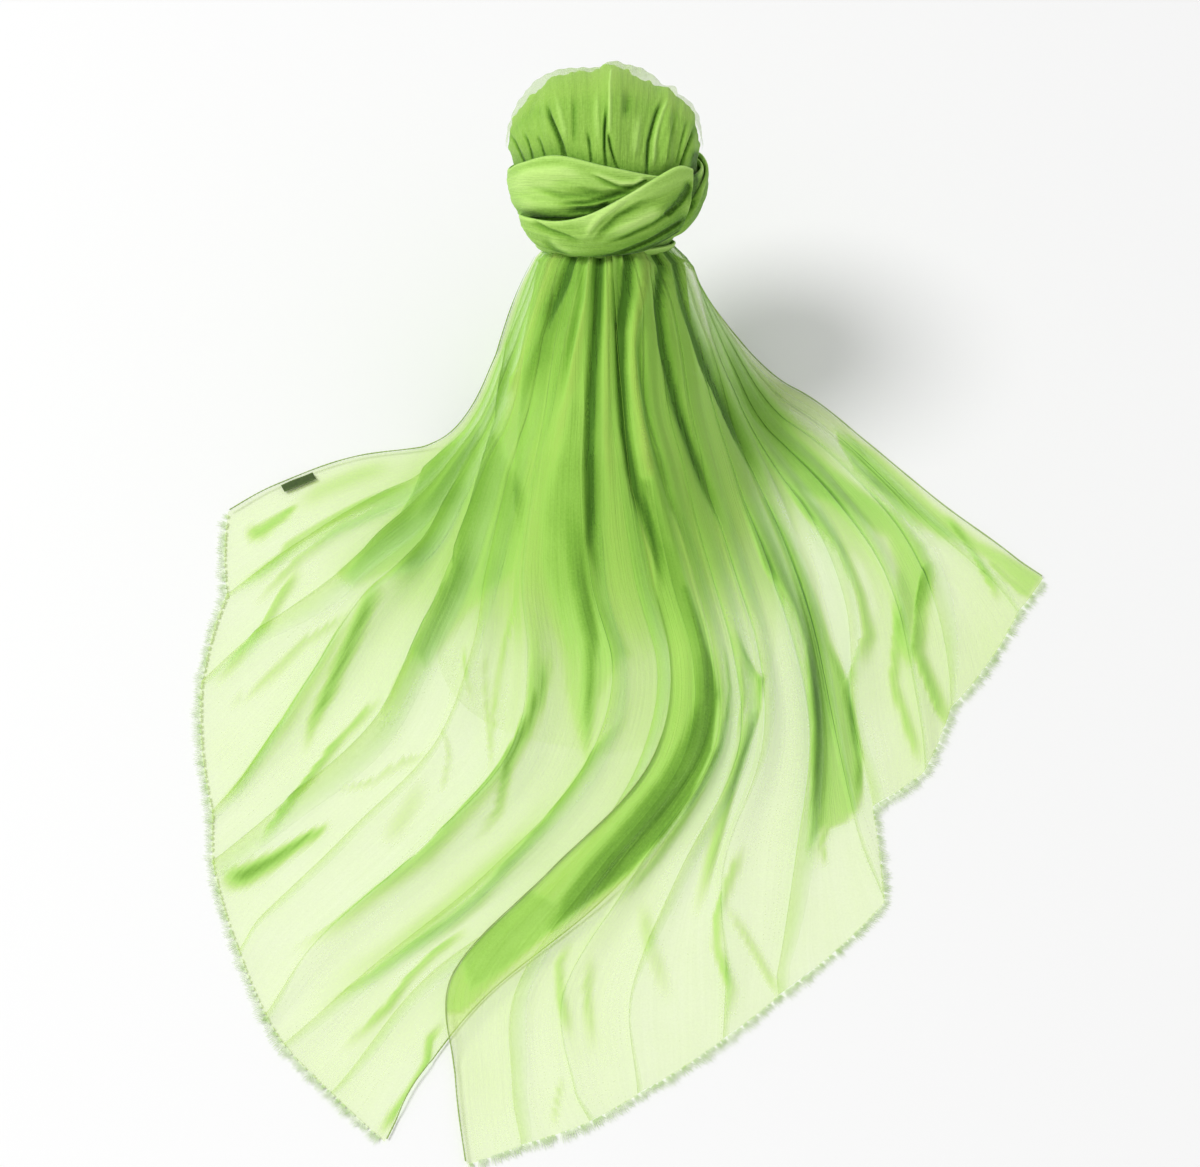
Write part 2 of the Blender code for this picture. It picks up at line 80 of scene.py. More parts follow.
# name, bearing at the neck, crest mm, reach mm, bearing at the fringe, bearings on the rings,
# overlap at the fringe mm, layers at 90, 180, 300 mm and at the fringe
LEFT_FOLDS = (
    ("outer_hem", -92, 0, 277, -67, (-62, -66, -70, -69), 0, (2.2, 1.4, 1.1, 1.0)),
    ("first", -78, 7, 307, -55, (-57, -57, -58, -57), 6, (5.0, 2.3, 1.2, 1.0)),
    ("second", -67, 8, 360, -47, (-52, -51, -50, -48, -48), 5, (5.0, 3.2, 1.4, 1.0)),
    ("third", -56, 12, 425, -36, (-46, -44, -41, -41, -38, -36), 9, (5.2, 3.8, 1.8, 1.0)),
    ("fourth", -45, 12, 454, -33, (-37, -36, -33, -30, -28, -31), 12, (4.8, 3.4, 1.4, 1.0)),
    ("swirl", -37, 7, 499, -27, (-30, -28, -25, -21, -20, -24, -27), 3, (5.0, 3.6, 1.2, 1.0)),
    ("long", -27, 13, 531, -23, (-23, -20, -17, -12, -11, -17, -22), 6, (5.0, 3.8, 1.4, 1.0)),
    ("inner", -12, 8, 545, -21, (-8, -6, -3, 1, -2, -10, -17), 4, (5.0, 4.2, 2.4, 1.1)),
    ("covered", 2, 0, 565, -17, (2, 4, 6, 8, 4, -4, -13), 2, (5.0, 4.2, 2.6, 1.1)),
    ("inner_hem", 18, 0, 587, -13, (13, 15, 16, 16, 12, 2, -8, -12), 0, (5.0, 4.2, 2.4, 1.0)),
)
RIGHT_FOLDS = (
    ("inner_hem", 5, 0, 593, -8, (7, 7, 9, 10, 5.8, -4.7, -11.3, -9.6), 0, (5.0, 4.2, 2.4, 1.1)),
    ("turned", 14, 3, 577, -5, (11, 12, 13, 13.5, 9.5, -0.5, -6.5, -6), 6, (5.0, 4.4, 2.6, 1.1)),
    ("strip", 23, 5, 560, -1, (16, 17, 18, 17, 13, 3, -3, -2), 4, (5.0, 4.4, 2.6, 1.0)),
    ("fine", 34, 9, 542, 2, (25, 23, 22, 20, 16, 7, 2), 3, (5.0, 4.2, 1.5, 1.0)),
    ("sickle", 46, 11, 510, 8, (35, 30, 27, 24, 19, 11, 9), 4, (5.0, 3.8, 1.4, 1.0)),
    ("tall", 60, 12, 487, 12.5, (47, 40, 35, 30, 25, 18, 13), 8, (4.8, 3.6, 1.6, 1.0)),
    ("shelf", 70, 8, 445, 23, (57, 48, 41, 34, 28, 24), 5, (4.4, 3.2, 1.5, 1.0)),
    ("hook", 78, 10, 381, 26.5, (66, 57, 50, 41, 31), 9, (4.2, 2.6, 1.4, 1.0)),
    ("deep", 84, 9, 375, 33, (76, 67, 58, 50, 40), 5, (5.4, 4.0, 2.0, 1.4)),
    ("corner", 91, 7, 348, 40, (86, 76, 66, 57, 46), 4, (5.2, 3.2, 1.9, 1.5)),
    ("edge_fold", 98, 5, 333, 55, (95, 83, 71, 62, 57), 3, (3.2, 2.2, 1.9, 1.5)),
    ("outer_hem", 104, 0, 334, 61, (102, 90, 76, 67, 62), 0, (1.6, 1.5, 1.5, 1.4)),
)
LAYER_RINGS = (90, 175, 250)
print("folds:", len(LEFT_FOLDS), "left,", len(RIGHT_FOLDS), "right")

# %% [markdown]
# ## How the cloth falls
# The ends leave a leaning neck ring, sweep down and run out flat over the hidden layers. The same few formulas
# that built the solids give every visual sheet its height, so cloth and collision shape stay together. They work
# on whole arrays of points at once, which keeps a fine mesh quick to make.

# %% Curves and the fall from the neck
def smooth_step(low, high, value):
    share = np.clip((value - low) / (high - low), 0.0, 1.0)
    return share * share * (3.0 - 2.0 * share)


def curve_through(places, heights, value):
    """A smooth curve through knots, on arrays: it keeps its end values outside the knots."""
    places, heights = np.asarray(places, float), np.asarray(heights, float)
    value = np.clip(value, places[0], places[-1])
    last = len(places) - 1
    index = np.clip(np.searchsorted(places, value, side="right") - 1, 0, last - 1)
    before, after = np.maximum(index - 1, 0), np.minimum(index + 2, last)
    x0, x1 = places[index], places[index + 1]
    y0, y1 = heights[index], heights[index + 1]
    slope0 = (y1 - heights[before]) / (x1 - places[before])
    slope1 = (heights[after] - y0) / (places[after] - x0)
    span = x1 - x0
    s = (value - x0) / span
    rise = (1 + 2 * s) * (1 - s) ** 2 * y0 + s * s * (3 - 2 * s) * y1
    return rise + s * (1 - s) ** 2 * span * slope0 - s * s * (1 - s) * span * slope1


def neck_angle(bearing):
    return np.arctan2(np.sin(bearing), np.cos(bearing) / math.cos(LEAN))


def neck_place(angle, radius=NECK_RADIUS, bulge=NECK_BULGE):
    """Across, forward and up from the neck's foot, for an angle round the leaning neck ring."""
    reach = radius + bulge * np.maximum(np.sin(angle), 0.0) ** 4
    across = reach * np.sin(angle)
    forward = reach * np.cos(angle) * math.cos(LEAN)
    up = NECK_HEIGHT + reach * np.cos(angle) * math.sin(LEAN)
    return across, forward, up


def foot_radius(bearing):
    return FOOT_SIDE + FOOT_FRONT * np.maximum(np.cos(1.3 * bearing), 0.0)


def heap_height(bearing, radius):
    turn = np.minimum(np.abs(bearing) / HEAP_HALF_ANGLE, 1.0)
    rise = np.clip((radius - HEAP_NEAR) / (HEAP_FULL - HEAP_NEAR), 0.0, 1.0)
    fade = np.clip(1.0 - (radius - HEAP_FULL) / HEAP_LENGTH, 0.0, 1.0)
    return HEAP_HEIGHT * np.cos(turn * math.pi / 2) ** 2 * rise * fade


def fall_height(bearing, radius, foot):
    across, forward, up = neck_place(neck_angle(bearing))
    start = np.hypot(across, forward)
    share = (radius - start) / (foot - start)
    ease = FALL_EASE * smooth_step(0.0, 0.5, share)
    total = 0.0
    for shift in (-1.0, -0.6, -0.2, 0.2, 0.6, 1.0):
        total = total + np.clip(1.0 - share - ease * shift, 0.0, 1.0) ** FALL_POWER
    return up * total / 6.0


def ground_height(bearing, radius):
    return fall_height(bearing, radius, foot_radius(bearing)) + heap_height(bearing, radius)


def steepness(bearing, radius):
    step = 2.0 * MM
    rise = ground_height(bearing, radius - step) - ground_height(bearing, radius + step)
    return np.hypot(1.0, rise / (2.0 * step))


# %% The path of each fold
class Fold:
    """One fold row: its radius and bearing at any share of the way from the neck to the fringe."""

    def __init__(self, row):
        name, neck, crest, reach, end, bearings, overlap, layers = row
        across, forward, up = neck_place(math.radians(neck))
        self.name, self.crest = name, crest * MM
        self.start = float(np.hypot(across, forward))
        self.reach, self.overlap = reach * MM, overlap * MM
        rings = [r * MM for r in RINGS[: len(bearings)]]
        self.places = [self.start, *rings, self.reach]
        self.bearings = [math.degrees(math.atan2(across, forward)), *bearings, end]
        self.layers = layers

    def radius(self, along):
        return self.start + (self.reach - self.start) * along

    def bearing(self, radius):
        return np.radians(curve_through(self.places, self.bearings, radius))

    def layer_count(self, radius):
        places = [r * MM for r in LAYER_RINGS if r * MM < self.reach - 0.02] + [self.reach]
        counts = list(self.layers[: len(places) - 1]) + [self.layers[-1]]
        return curve_through(places, counts, radius)


LEFT = [Fold(row) for row in LEFT_FOLDS]
RIGHT = [Fold(row) for row in RIGHT_FOLDS]
print("reaches:", [(fold.name, round(fold.reach, 3)) for fold in LEFT + RIGHT])

# %% [markdown]
# ## Shader helpers
# Node maths is easier to read as arithmetic. `Socket` wraps a node's output so that `a * 2 + b` adds Math nodes,
# and `Finish` makes any other node from its type, its settings and what its sockets take.

# %% A small language for materials
class Socket:
    def __init__(self, finish, output):
        self.finish, self.output = finish, output

    def maths(self, operation, other, swap=False):
        node = self.finish.tree.nodes.new("ShaderNodeMath")
        node.operation = operation
        first, second = (other, self) if swap else (self, other)
        for slot, value in zip(node.inputs, (first, second)):
            self.finish.feed(slot, value)
        return Socket(self.finish, node.outputs[0])

    def __add__(self, other):
        return self.maths("ADD", other)

    __radd__ = __add__

    def __sub__(self, other):
        return self.maths("SUBTRACT", other)

    def __rsub__(self, other):
        return self.maths("SUBTRACT", other, swap=True)

    def __mul__(self, other):
        return self.maths("MULTIPLY", other)

    __rmul__ = __mul__

    def __pow__(self, other):
        return self.maths("POWER", other)

    def __rpow__(self, other):
        return self.maths("POWER", other, swap=True)


class Finish:
    """A node material in the making."""

    def __init__(self, name):
        self.material = bpy.data.materials.new(name)
        self.material.use_nodes = True
        self.tree = self.material.node_tree
        self.shader = self.tree.nodes["Principled BSDF"]

    def feed(self, slot, value):
        if isinstance(value, Socket):
            self.tree.links.new(value.output, slot)
        else:
            slot.default_value = value

    def node(self, kind, settings=None, output=0, **inputs):
        made = self.tree.nodes.new("ShaderNode" + kind)
        for key, value in (settings or {}).items():
            if key == "stops":
                ramp = made.color_ramp
                while len(ramp.elements) < len(value):
                    ramp.elements.new(1.0)
                for element, (place, colour) in zip(ramp.elements, value):
                    element.position, element.color = place, colour
            else:
                setattr(made, key, value)
        for key, value in inputs.items():
            self.feed(made.inputs[key.replace("_", " ")], value)
        return Socket(self, made.outputs[output])

    def noise(self, scale, detail=2.0, rough=0.5):
        """Noise over the object's own coordinates."""
        place = self.node("TexCoord", output=3)
        return self.node("TexNoise", Vector=place, Scale=scale, Detail=detail, Roughness=rough)

    def mix(self, share, first, second):
        """A mix of two colours."""
        made = self.node("Mix", {"data_type": "RGBA"}, 2)
        for slot, value in zip((0, 6, 7), (share, first, second)):
            self.feed(made.output.node.inputs[slot], value)
        return made

    def shade(self, **inputs):
        for key, value in inputs.items():
            self.feed(self.shader.inputs[key.replace("_", " ")], value)


# %% [markdown]
# ## Camera, table and light
# The picture is taken from above at 55 degrees with a long lens, so the flat ends show their true spread and the
# head reads from its front. The table is plain and white. A large soft light to the left and above gives the
# head its soft shadow to the right, and a pale sky fills everything else.

# %% Camera
TARGET = Vector((-0.0175, 0.0779, 0.0))
CAMERA_RISE = math.radians(55.0)
CAMERA_FAR = 2.2
SENSOR, LENS = 36.0, 99.0
camera_data = bpy.data.cameras.new("camera")
camera_data.sensor_width, camera_data.lens = SENSOR, LENS
camera = bpy.data.objects.new("camera", camera_data)
bpy.context.scene.collection.objects.link(camera)
back = Vector((0.0, -math.cos(CAMERA_RISE), math.sin(CAMERA_RISE)))
camera.location = TARGET + back * CAMERA_FAR
camera.rotation_mode = "QUATERNION"
camera.rotation_quaternion = (-back).to_track_quat("-Z", "Y")
bpy.context.scene.camera = camera
print("camera at", tuple(round(v, 3) for v in camera.location))

# %% Table and light
TABLE_SIZE, TABLE_DROP = 14.0, 0.6 * MM
bpy.ops.mesh.primitive_plane_add(size=TABLE_SIZE, location=(0.0, 0.0, -TABLE_DROP))
table = bpy.context.object
table.name = "table"
top = Finish("white_table")
speckle = top.node("TexNoise", Scale=3.0, Detail=2.0)
top.shade(Base_Color=top.mix(speckle, (0.90, 0.90, 0.90, 1.0), (0.93, 0.93, 0.93, 1.0)), Roughness=0.9)
table.data.materials.append(top.material)

world = bpy.data.worlds.new("studio")
world.use_nodes = True
sky = world.node_tree.nodes["Background"]
sky.inputs["Color"].default_value = (1.0, 1.0, 1.0, 1.0)
sky.inputs["Strength"].default_value = 0.62
bpy.context.scene.world = world


def soft_light(name, place, aim, size, power):
    data = bpy.data.lights.new(name, "AREA")
    data.shape, data.size, data.energy = "DISK", size, power
    lamp = bpy.data.objects.new(name, data)
    lamp.location = place
    lamp.rotation_mode = "QUATERNION"
    lamp.rotation_quaternion = (Vector(aim) - Vector(place)).to_track_quat("-Z", "Y")
    bpy.context.scene.collection.objects.link(lamp)


soft_light("left_window", (-4.2, 0.30, 5.9), (0.0, 0.1, 0.0), 2.9, 290.0)
bpy.context.scene.view_settings.view_transform = "Standard"
bpy.context.scene.cycles.transparent_max_bounces = 24
print("table", TABLE_SIZE, "m, one soft light")

# %% [markdown]
# ## Sheer cloth
# Thin cashmere hides little by itself: a single layer lets about six tenths of the table through. The mesh lies
# in real folded layers, so each layer only needs its own share of cover, and the layers behind add to it. Two
# numbers are stored at every point: `layers`, how many lie there in all, with painted shade added beside folds
# and in creases and painted highlights taken off along crests, which picks the green, and `gather`, how many of
# them this one sheet stands for. Fine streaks along the threads vary both.

# %% Greens by the number of layers
SINGLE_COVER = 0.34
DEEPEST = 12.0
GREENS = (
    (1.0, (0.62, 0.80, 0.22)), (2.0, (0.55, 0.75, 0.18)), (3.0, (0.47, 0.73, 0.12)),
    (5.0, (0.39, 0.71, 0.105)), (8.0, (0.22, 0.47, 0.045)), (12.0, (0.075, 0.21, 0.012)),
)
STOPS = [(count / DEEPEST, (*colour, 1.0)) for count, colour in GREENS]
SHEEN_TINT = (0.85, 1.0, 0.70, 1.0)


def stored(finish, name):
    return finish.node("Attribute", {"attribute_name": name}, 2)


def thread_streaks(finish, across, along, detail=3.0, rough=0.6):
    """Noise drawn out along the threads, from the cloth's own flat coordinates in metres."""
    flat = finish.node("UVMap", {"uv_map": "cloth"})
    drawn = finish.node("Mapping", {"vector_type": "POINT"}, Vector=flat, Scale=(across, along, 1.0))
    return finish.node("TexNoise", {"noise_dimensions": "2D"}, Vector=drawn, Scale=1.0, Detail=detail,
                       Roughness=rough)


def crepe_bump(finish):
    """The fine crinkle of the yarn, with broader creases along the threads below it."""
    crinkle = finish.noise(620.0, rough=0.7)
    crease = thread_streaks(finish, 420.0, 16.0, 2.0, 0.5)
    height = crinkle * 0.45 + crease * 0.75
    return finish.node("Bump", Strength=1.0, Distance=0.6 * MM, Height=height)


def sheer_finish(name):
    finish = Finish(name)
    streak = thread_streaks(finish, 260.0, 5.0, 2.0) * 0.65 + thread_streaks(finish, 700.0, 22.0, 1.0) * 0.25
    unevenness = streak * 0.34 + finish.noise(22.0) * 0.36 + finish.noise(700.0, 1.0) * 0.26 + 0.537
    layers = stored(finish, "layers") * unevenness
    colour = finish.node("ValToRGB", {"stops": STOPS}, Fac=layers * (1.0 / DEEPEST))
    gathered = stored(finish, "gather") * unevenness
    cover = 1.0 - (1.0 - SINGLE_COVER) ** gathered
    finish.shade(Base_Color=colour, Alpha=cover, Roughness=streak * 0.3 + 0.62, Normal=crepe_bump(finish),
                 Specular_IOR_Level=0.25, Sheen_Weight=0.18, Sheen_Roughness=0.45, Sheen_Tint=SHEEN_TINT)
    return finish.material


SHEER = sheer_finish("sheer_cashmere")
print("stops", [round(s[0], 3) for s in STOPS])

# %% [markdown]
# ## Sheets from grids of points
# A draped sheet could be simulated, but the folds here were arranged by hand, each one where it is. So each sheet
# is a grid whose columns run along the cloth from the neck to the fringe: the fold rows place the columns, and a
# cross-section of flat cloth, tuck, return and soft roll is laid between them. The grid also carries the flat
# coordinates of the cloth, so weave and streaks follow the folds.

# %% Grid helper
def cloth_grid(name, points, flat, values=None, wrap=False, material=None):
    """A sheet from points of shape rows, columns, 3, with its flat coordinates and stored numbers."""
    rows, columns = points.shape[:2]
    mesh = bpy.data.meshes.new(name)
    reach = columns if wrap else columns - 1
    row, column = np.meshgrid(np.arange(rows - 1), np.arange(reach), indexing="ij")
    after = (column + 1) % columns
    corners = [row * columns + column, row * columns + after, (row + 1) * columns + after,
               (row + 1) * columns + column]
    faces = np.stack([c.ravel() for c in corners], axis=1)
    mesh.from_pydata(points.reshape(-1, 3).tolist(), [], faces.tolist())
    mesh.update()
    layer = mesh.uv_layers.new(name="cloth")
    corner_flat = flat.reshape(-1, 2)[faces].astype(np.float32)
    if wrap:
        turned = corner_flat[:, 1:3, 0] < corner_flat[:, 0:1, 0] - 1e-6
        width = flat[..., 0].max() * columns / (columns - 1)
        corner_flat[:, 1:3, 0] += turned * width
    layer.data.foreach_set("uv", corner_flat.ravel())
    for key, numbers in (values or {}).items():
        stored_at = mesh.attributes.new(key, "FLOAT", "POINT")
        stored_at.data.foreach_set("value", numbers.astype(np.float32).ravel())
    mesh.polygons.foreach_set("use_smooth", [True] * len(mesh.polygons))
    piece = bpy.data.objects.new(name, mesh)
    bpy.context.scene.collection.objects.link(piece)
    if material:
        mesh.materials.append(material)
    return piece


def grid_normals(points, wrap=False):
    if wrap:
        padded = np.concatenate([points[:, -1:], points, points[:, :1]], axis=1)
        across = (padded[:, 2:] - padded[:, :-2]) / 2
    else:
        across = np.gradient(points, axis=1)
    along = np.gradient(points, axis=0)
    normal = np.cross(across, along)
    return normal / np.maximum(np.linalg.norm(normal, axis=-1, keepdims=True), 1e-12)


def edited(piece, *steps):
    """Edit mode on one piece: each step is an operator and its options, on the whole mesh."""
    bpy.ops.object.select_all(action="DESELECT")
    bpy.context.view_layer.objects.active = piece
    piece.select_set(True)
    bpy.ops.object.mode_set(mode="EDIT")
    for operator, options in steps:
        bpy.ops.mesh.select_all(action="SELECT")
        operator(**options)
    bpy.ops.object.mode_set(mode="OBJECT")


def close_ends(piece, sides):
    edited(piece, (bpy.ops.mesh.fill_holes, {"sides": sides}),
           (bpy.ops.mesh.normals_make_consistent, {"inside": False}))


def dress(piece, node=None):
    """The piece rides on the part's one body and, when a node is given, stands for that solid."""
    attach(piece, "root")
    if node:
        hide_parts(node)
    area = sum(face.area for face in piece.data.polygons)
    print(piece.name, "faces", len(piece.data.polygons), "area", round(area, 4))


# %% The ground the folds lie on
REST = 0.5 * MM
TURN = 0.6 * MM


def surface(bearing, radius, lift=0.0):
    x = NECK_FOOT[0] + radius * np.sin(bearing)
    y = NECK_FOOT[1] - radius * np.cos(bearing)
    return np.stack([x, y, ground_height(bearing, radius) + lift + REST], axis=-1)


def surface_normal(bearing, radius):
    step = 7.0 * MM
    turn = step / np.maximum(radius, 20 * MM)
    along = surface(bearing, radius + step) - surface(bearing, radius - step)
    across = surface(bearing + turn, radius) - surface(bearing - turn, radius)
    normal = np.cross(along, across)
    return normal / np.linalg.norm(normal, axis=-1, keepdims=True)


def over_left_end(bearing, radius):
    edge = LEFT[-1].bearing(radius)
    share = smooth_step(4 * MM, 16 * MM, (bearing - edge) * radius)
    return LAYER_STEP * (1.0 - share) * steepness(bearing, radius)


def crest_share(along):
    return (0.10 + 0.70 * smooth_step(0.15, 0.45, along)) * (1.0 - 0.75 * smooth_step(0.45, 1.0, along))


# %% [markdown]
# ## Small folds one by one
# Between the main folds the cloth holds low ripples, pinches and doubled places. Each is a stroke: a line drawn
# over the picture, with the width of its left and right flanks, its height, and the layers it adds. Those layers
# are partly real doubled cloth and partly painted light: painted shade in valleys, creases and hollows and beside
# a fold on its side away from the lamp, and, where they are negative, a painted highlight along a crest. A narrow
# left flank with a wide right one reads as a crisp fold with a painted shadow fading away from it, which is how
# most of them look. The strokes are thrown onto the cloth from the camera's side and raise or dent the sheet
# itself. A patch does the same for a closed outline, where a whole tongue of cloth lies doubled.

# %% Picture places
PICTURE_WIDTH, PICTURE_HEIGHT = 1200.0, 1167.0
FAR_AWAY = 1e9


def picture_place(points):
    """Where points fall in the picture, seen by the camera above."""
    offset = points - np.array(camera.location)
    scale = LENS / SENSOR * PICTURE_WIDTH / (offset @ -np.array(back))
    rise = np.array([0.0, math.sin(CAMERA_RISE), math.cos(CAMERA_RISE)])
    return np.stack([PICTURE_WIDTH / 2 + scale * offset[..., 0], PICTURE_HEIGHT / 2 - scale * (offset @ rise)], -1)


def line_shape(places, line, left, right, head, tail):
    """How strongly a stroke shows at each place, from 0 to 1; flanks are (start, end) widths."""
    line = np.array(line, float).reshape(-1, 2)
    best = np.full(places.shape[:-1], FAR_AWAY)
    signed, run = np.zeros_like(best), np.zeros_like(best)
    lengths = np.linalg.norm(np.diff(line, axis=0), axis=1)
    total, done = lengths.sum(), 0.0
    for start, stop, length in zip(line[:-1], line[1:], lengths):
        way = (stop - start) / length
        offset = places - start
        reach = np.clip(offset @ way, 0.0, length)
        gap = offset - reach[..., None] * way
        far = np.hypot(gap[..., 0], gap[..., 1])
        hand = way[0] * offset[..., 1] - way[1] * offset[..., 0]
        closer = far < best
        best = np.where(closer, far, best)
        signed = np.where(closer, np.where(hand > 0, far, -far), signed)
        run = np.where(closer, (done + reach) / total, run)
        done += length
    left, right = (np.broadcast_to(w, (2,)) for w in (left, right))
    width = np.where(signed < 0, right[0] + (right[1] - right[0]) * run, left[0] + (left[1] - left[0]) * run)
    body = np.cos(np.clip(np.abs(signed) / width, 0, 1) * math.pi / 2) ** 2
    return body * smooth_step(0.0, max(head, 1e-3), run) * (1.0 - smooth_step(1.0 - max(tail, 1e-3), 1.0, run))


def patch_shape(places, outline, soft):
    """1 inside a closed outline, 0 outside, soft across its edge."""
    outline = np.array(outline, float).reshape(-1, 2)
    inside = np.zeros(places.shape[:-1], bool)
    best = np.full(places.shape[:-1], FAR_AWAY)
    x, y = places[..., 0], places[..., 1]
    for start, stop in zip(outline, np.roll(outline, -1, axis=0)):
        crosses = (start[1] > y) != (stop[1] > y)
        level = np.where(abs(stop[1] - start[1]) < 1e-9, 1e-9, stop[1] - start[1])
        inside ^= crosses & (x < (stop[0] - start[0]) * (y - start[1]) / level + start[0])
        way = stop - start
        share = np.clip(((places - start) @ way) / (way @ way), 0, 1)
        gap = places - start - share[..., None] * way
        best = np.minimum(best, np.hypot(gap[..., 0], gap[..., 1]))
    return smooth_step(-soft, soft, np.where(inside, best, -best))


# %% What a stroke and a patch are
# a stroke: height mm, layers with painted shade (a painted highlight where negative), left flank, right flank,
# fade at start, fade at end, line over the picture
# a patch: height mm, layers (lighter where negative), softness, outline over the picture; a flank may be (start, end)
STROKES, PATCHES = {}, {}

# %% Strokes of the left end, from its outer hem inwards
# most strokes lay a fold's relief, with painted shadow in the layers of the wide flank to its right
STROKES["left_end"] = (
    (1.5, 2.63, 2, 14, 0.22, 0.3, (425, 483, 392, 492, 350, 508, 300, 535, 262, 570, 226, 594)),
    (1.2, 2.11, 2.5, 9, 0.22, 0.3, (418, 494, 384, 510, 337, 532, 300, 558, 270, 587, 248, 612)),
    (0.8, 4.56, (11, 4), (12, 4), 0.22, 0.22, (243, 538, 262, 532, 282, 518, 300, 504)),
    (0.6, 1.23, 12, 16, 0.3, 0.3, (400, 462, 360, 474, 320, 490, 290, 512)),
    (2.5, 1.58, 2.5, (45, 12), 0.25, 0.3, (470, 425, 438, 461, 416, 498, 402, 517, 365, 557, 350, 574, 320, 590)),
    (2, 2.81, 3, 11, 0.22, 0.25, (303, 564, 280, 595, 263, 626, 247, 647, 225, 671, 204, 685)),
    (3, 2.98, 4, 17, 0.3, 0.22, (473, 461, 457, 501, 440, 524, 414, 562, 386, 590)),
    (2, 5.62, (12, 7), (10, 6), 0.22, 0.35, (386, 586, 369, 614, 355, 642, 332, 690, 313, 725, 303, 760)),
    (1.5, 2.63, 2, 15, 0.22, 0.22, (353, 612, 322, 666, 284, 725, 237, 784, 210, 812)),
    (1, 1.76, 2, 8, 0.22, 0.3, (355, 609, 303, 642, 280, 666, 256, 687, 223, 711)),
    (2.6, 2.28, 2.5, (10, 30), 0.22, 0.25, (530, 280, 512, 345, 503, 420, 480, 490, 462, 545, 459, 576, 426, 630, 398,
     680, 386, 708, 369, 760)),
    (2.2, 4.21, 2.5, 9, 0.22, 0.22, (385, 694, 374, 704, 343, 734, 317, 767, 296, 793, 263, 838, 258, 852)),
    (1.2, 7.37, (17, 4), (14, 4), 0.22, 0.22, (216, 884, 245, 876, 275, 860, 305, 840, 334, 824)),
    (1, 1.58, 2, (12, 4), 0.3, 0.3, (436, 760, 424, 756, 402, 761, 372, 781, 330, 794)),
    (1, 1.4, 3, 5, 0.3, 0.3, (438, 728, 447, 745, 449, 760, 440, 798)),
    (0.8, 1.05, 12, 14, 0.4, 0.4, (430, 775, 405, 815, 380, 850)),
    (1.2, 1.93, 6, 2, 0.22, 0.3, (523, 590, 506, 642, 496, 700, 494, 725, 492, 767)),
    (1, 1.58, 3, 4, 0.3, 0.3, (487, 640, 485, 690, 489, 735, 493, 785)),
    (1, 1.4, 3, 4, 0.3, 0.3, (463, 640, 466, 672, 472, 708)),
    (2.5, 4.04, 2.5, (20, 16), 0.22, 0.3, (530, 600, 532, 642, 531, 706, 520, 739, 501, 772, 472, 805, 424, 856, 377,
     892, 335, 926, 304, 942, 278, 957)),
    # the next two are painted shadow along the right of the long ridge and below it
    (-0.5, 3.51, 5, 9, 0.22, 0.35, (551, 642, 548, 664, 543, 692, 529, 730, 508, 772, 498, 812, 470, 850)),
    (0.5, 1.05, 16, 22, 0.3, 0.4, (560, 790, 510, 850, 450, 905, 390, 950, 310, 1000)),
    (2, 3.33, 2.5, 12, 0.22, 0.3, (631, 692, 619, 725, 595, 753, 572, 787, 543, 827, 502, 872, 476, 900, 450, 921,
     411, 947, 372, 976, 330, 1001, 302, 1014)),
    (1.8, 3.51, 3, 9, 0.22, 0.4, (472, 925, 434, 952, 408, 978, 387, 1007, 335, 1056)),
    (1, 4.21, 8, 4, 0.22, 0.22, (447, 1020, 431, 1040, 428, 1064, 411, 1092, 377, 1139)),
    (1.5, 4.56, (18, 9), (18, 4), 0.5, 0.22, (570, 480, 578, 560, 592, 640, 590, 700, 586, 757)),
    (1, 2.11, 3, 16, 0.3, 0.3, (524, 330, 505, 390, 480, 440, 440, 500, 400, 545)),
    (1, 1.76, 3, 12, 0.3, 0.3, (540, 300, 530, 380, 520, 470, 523, 560)),
)

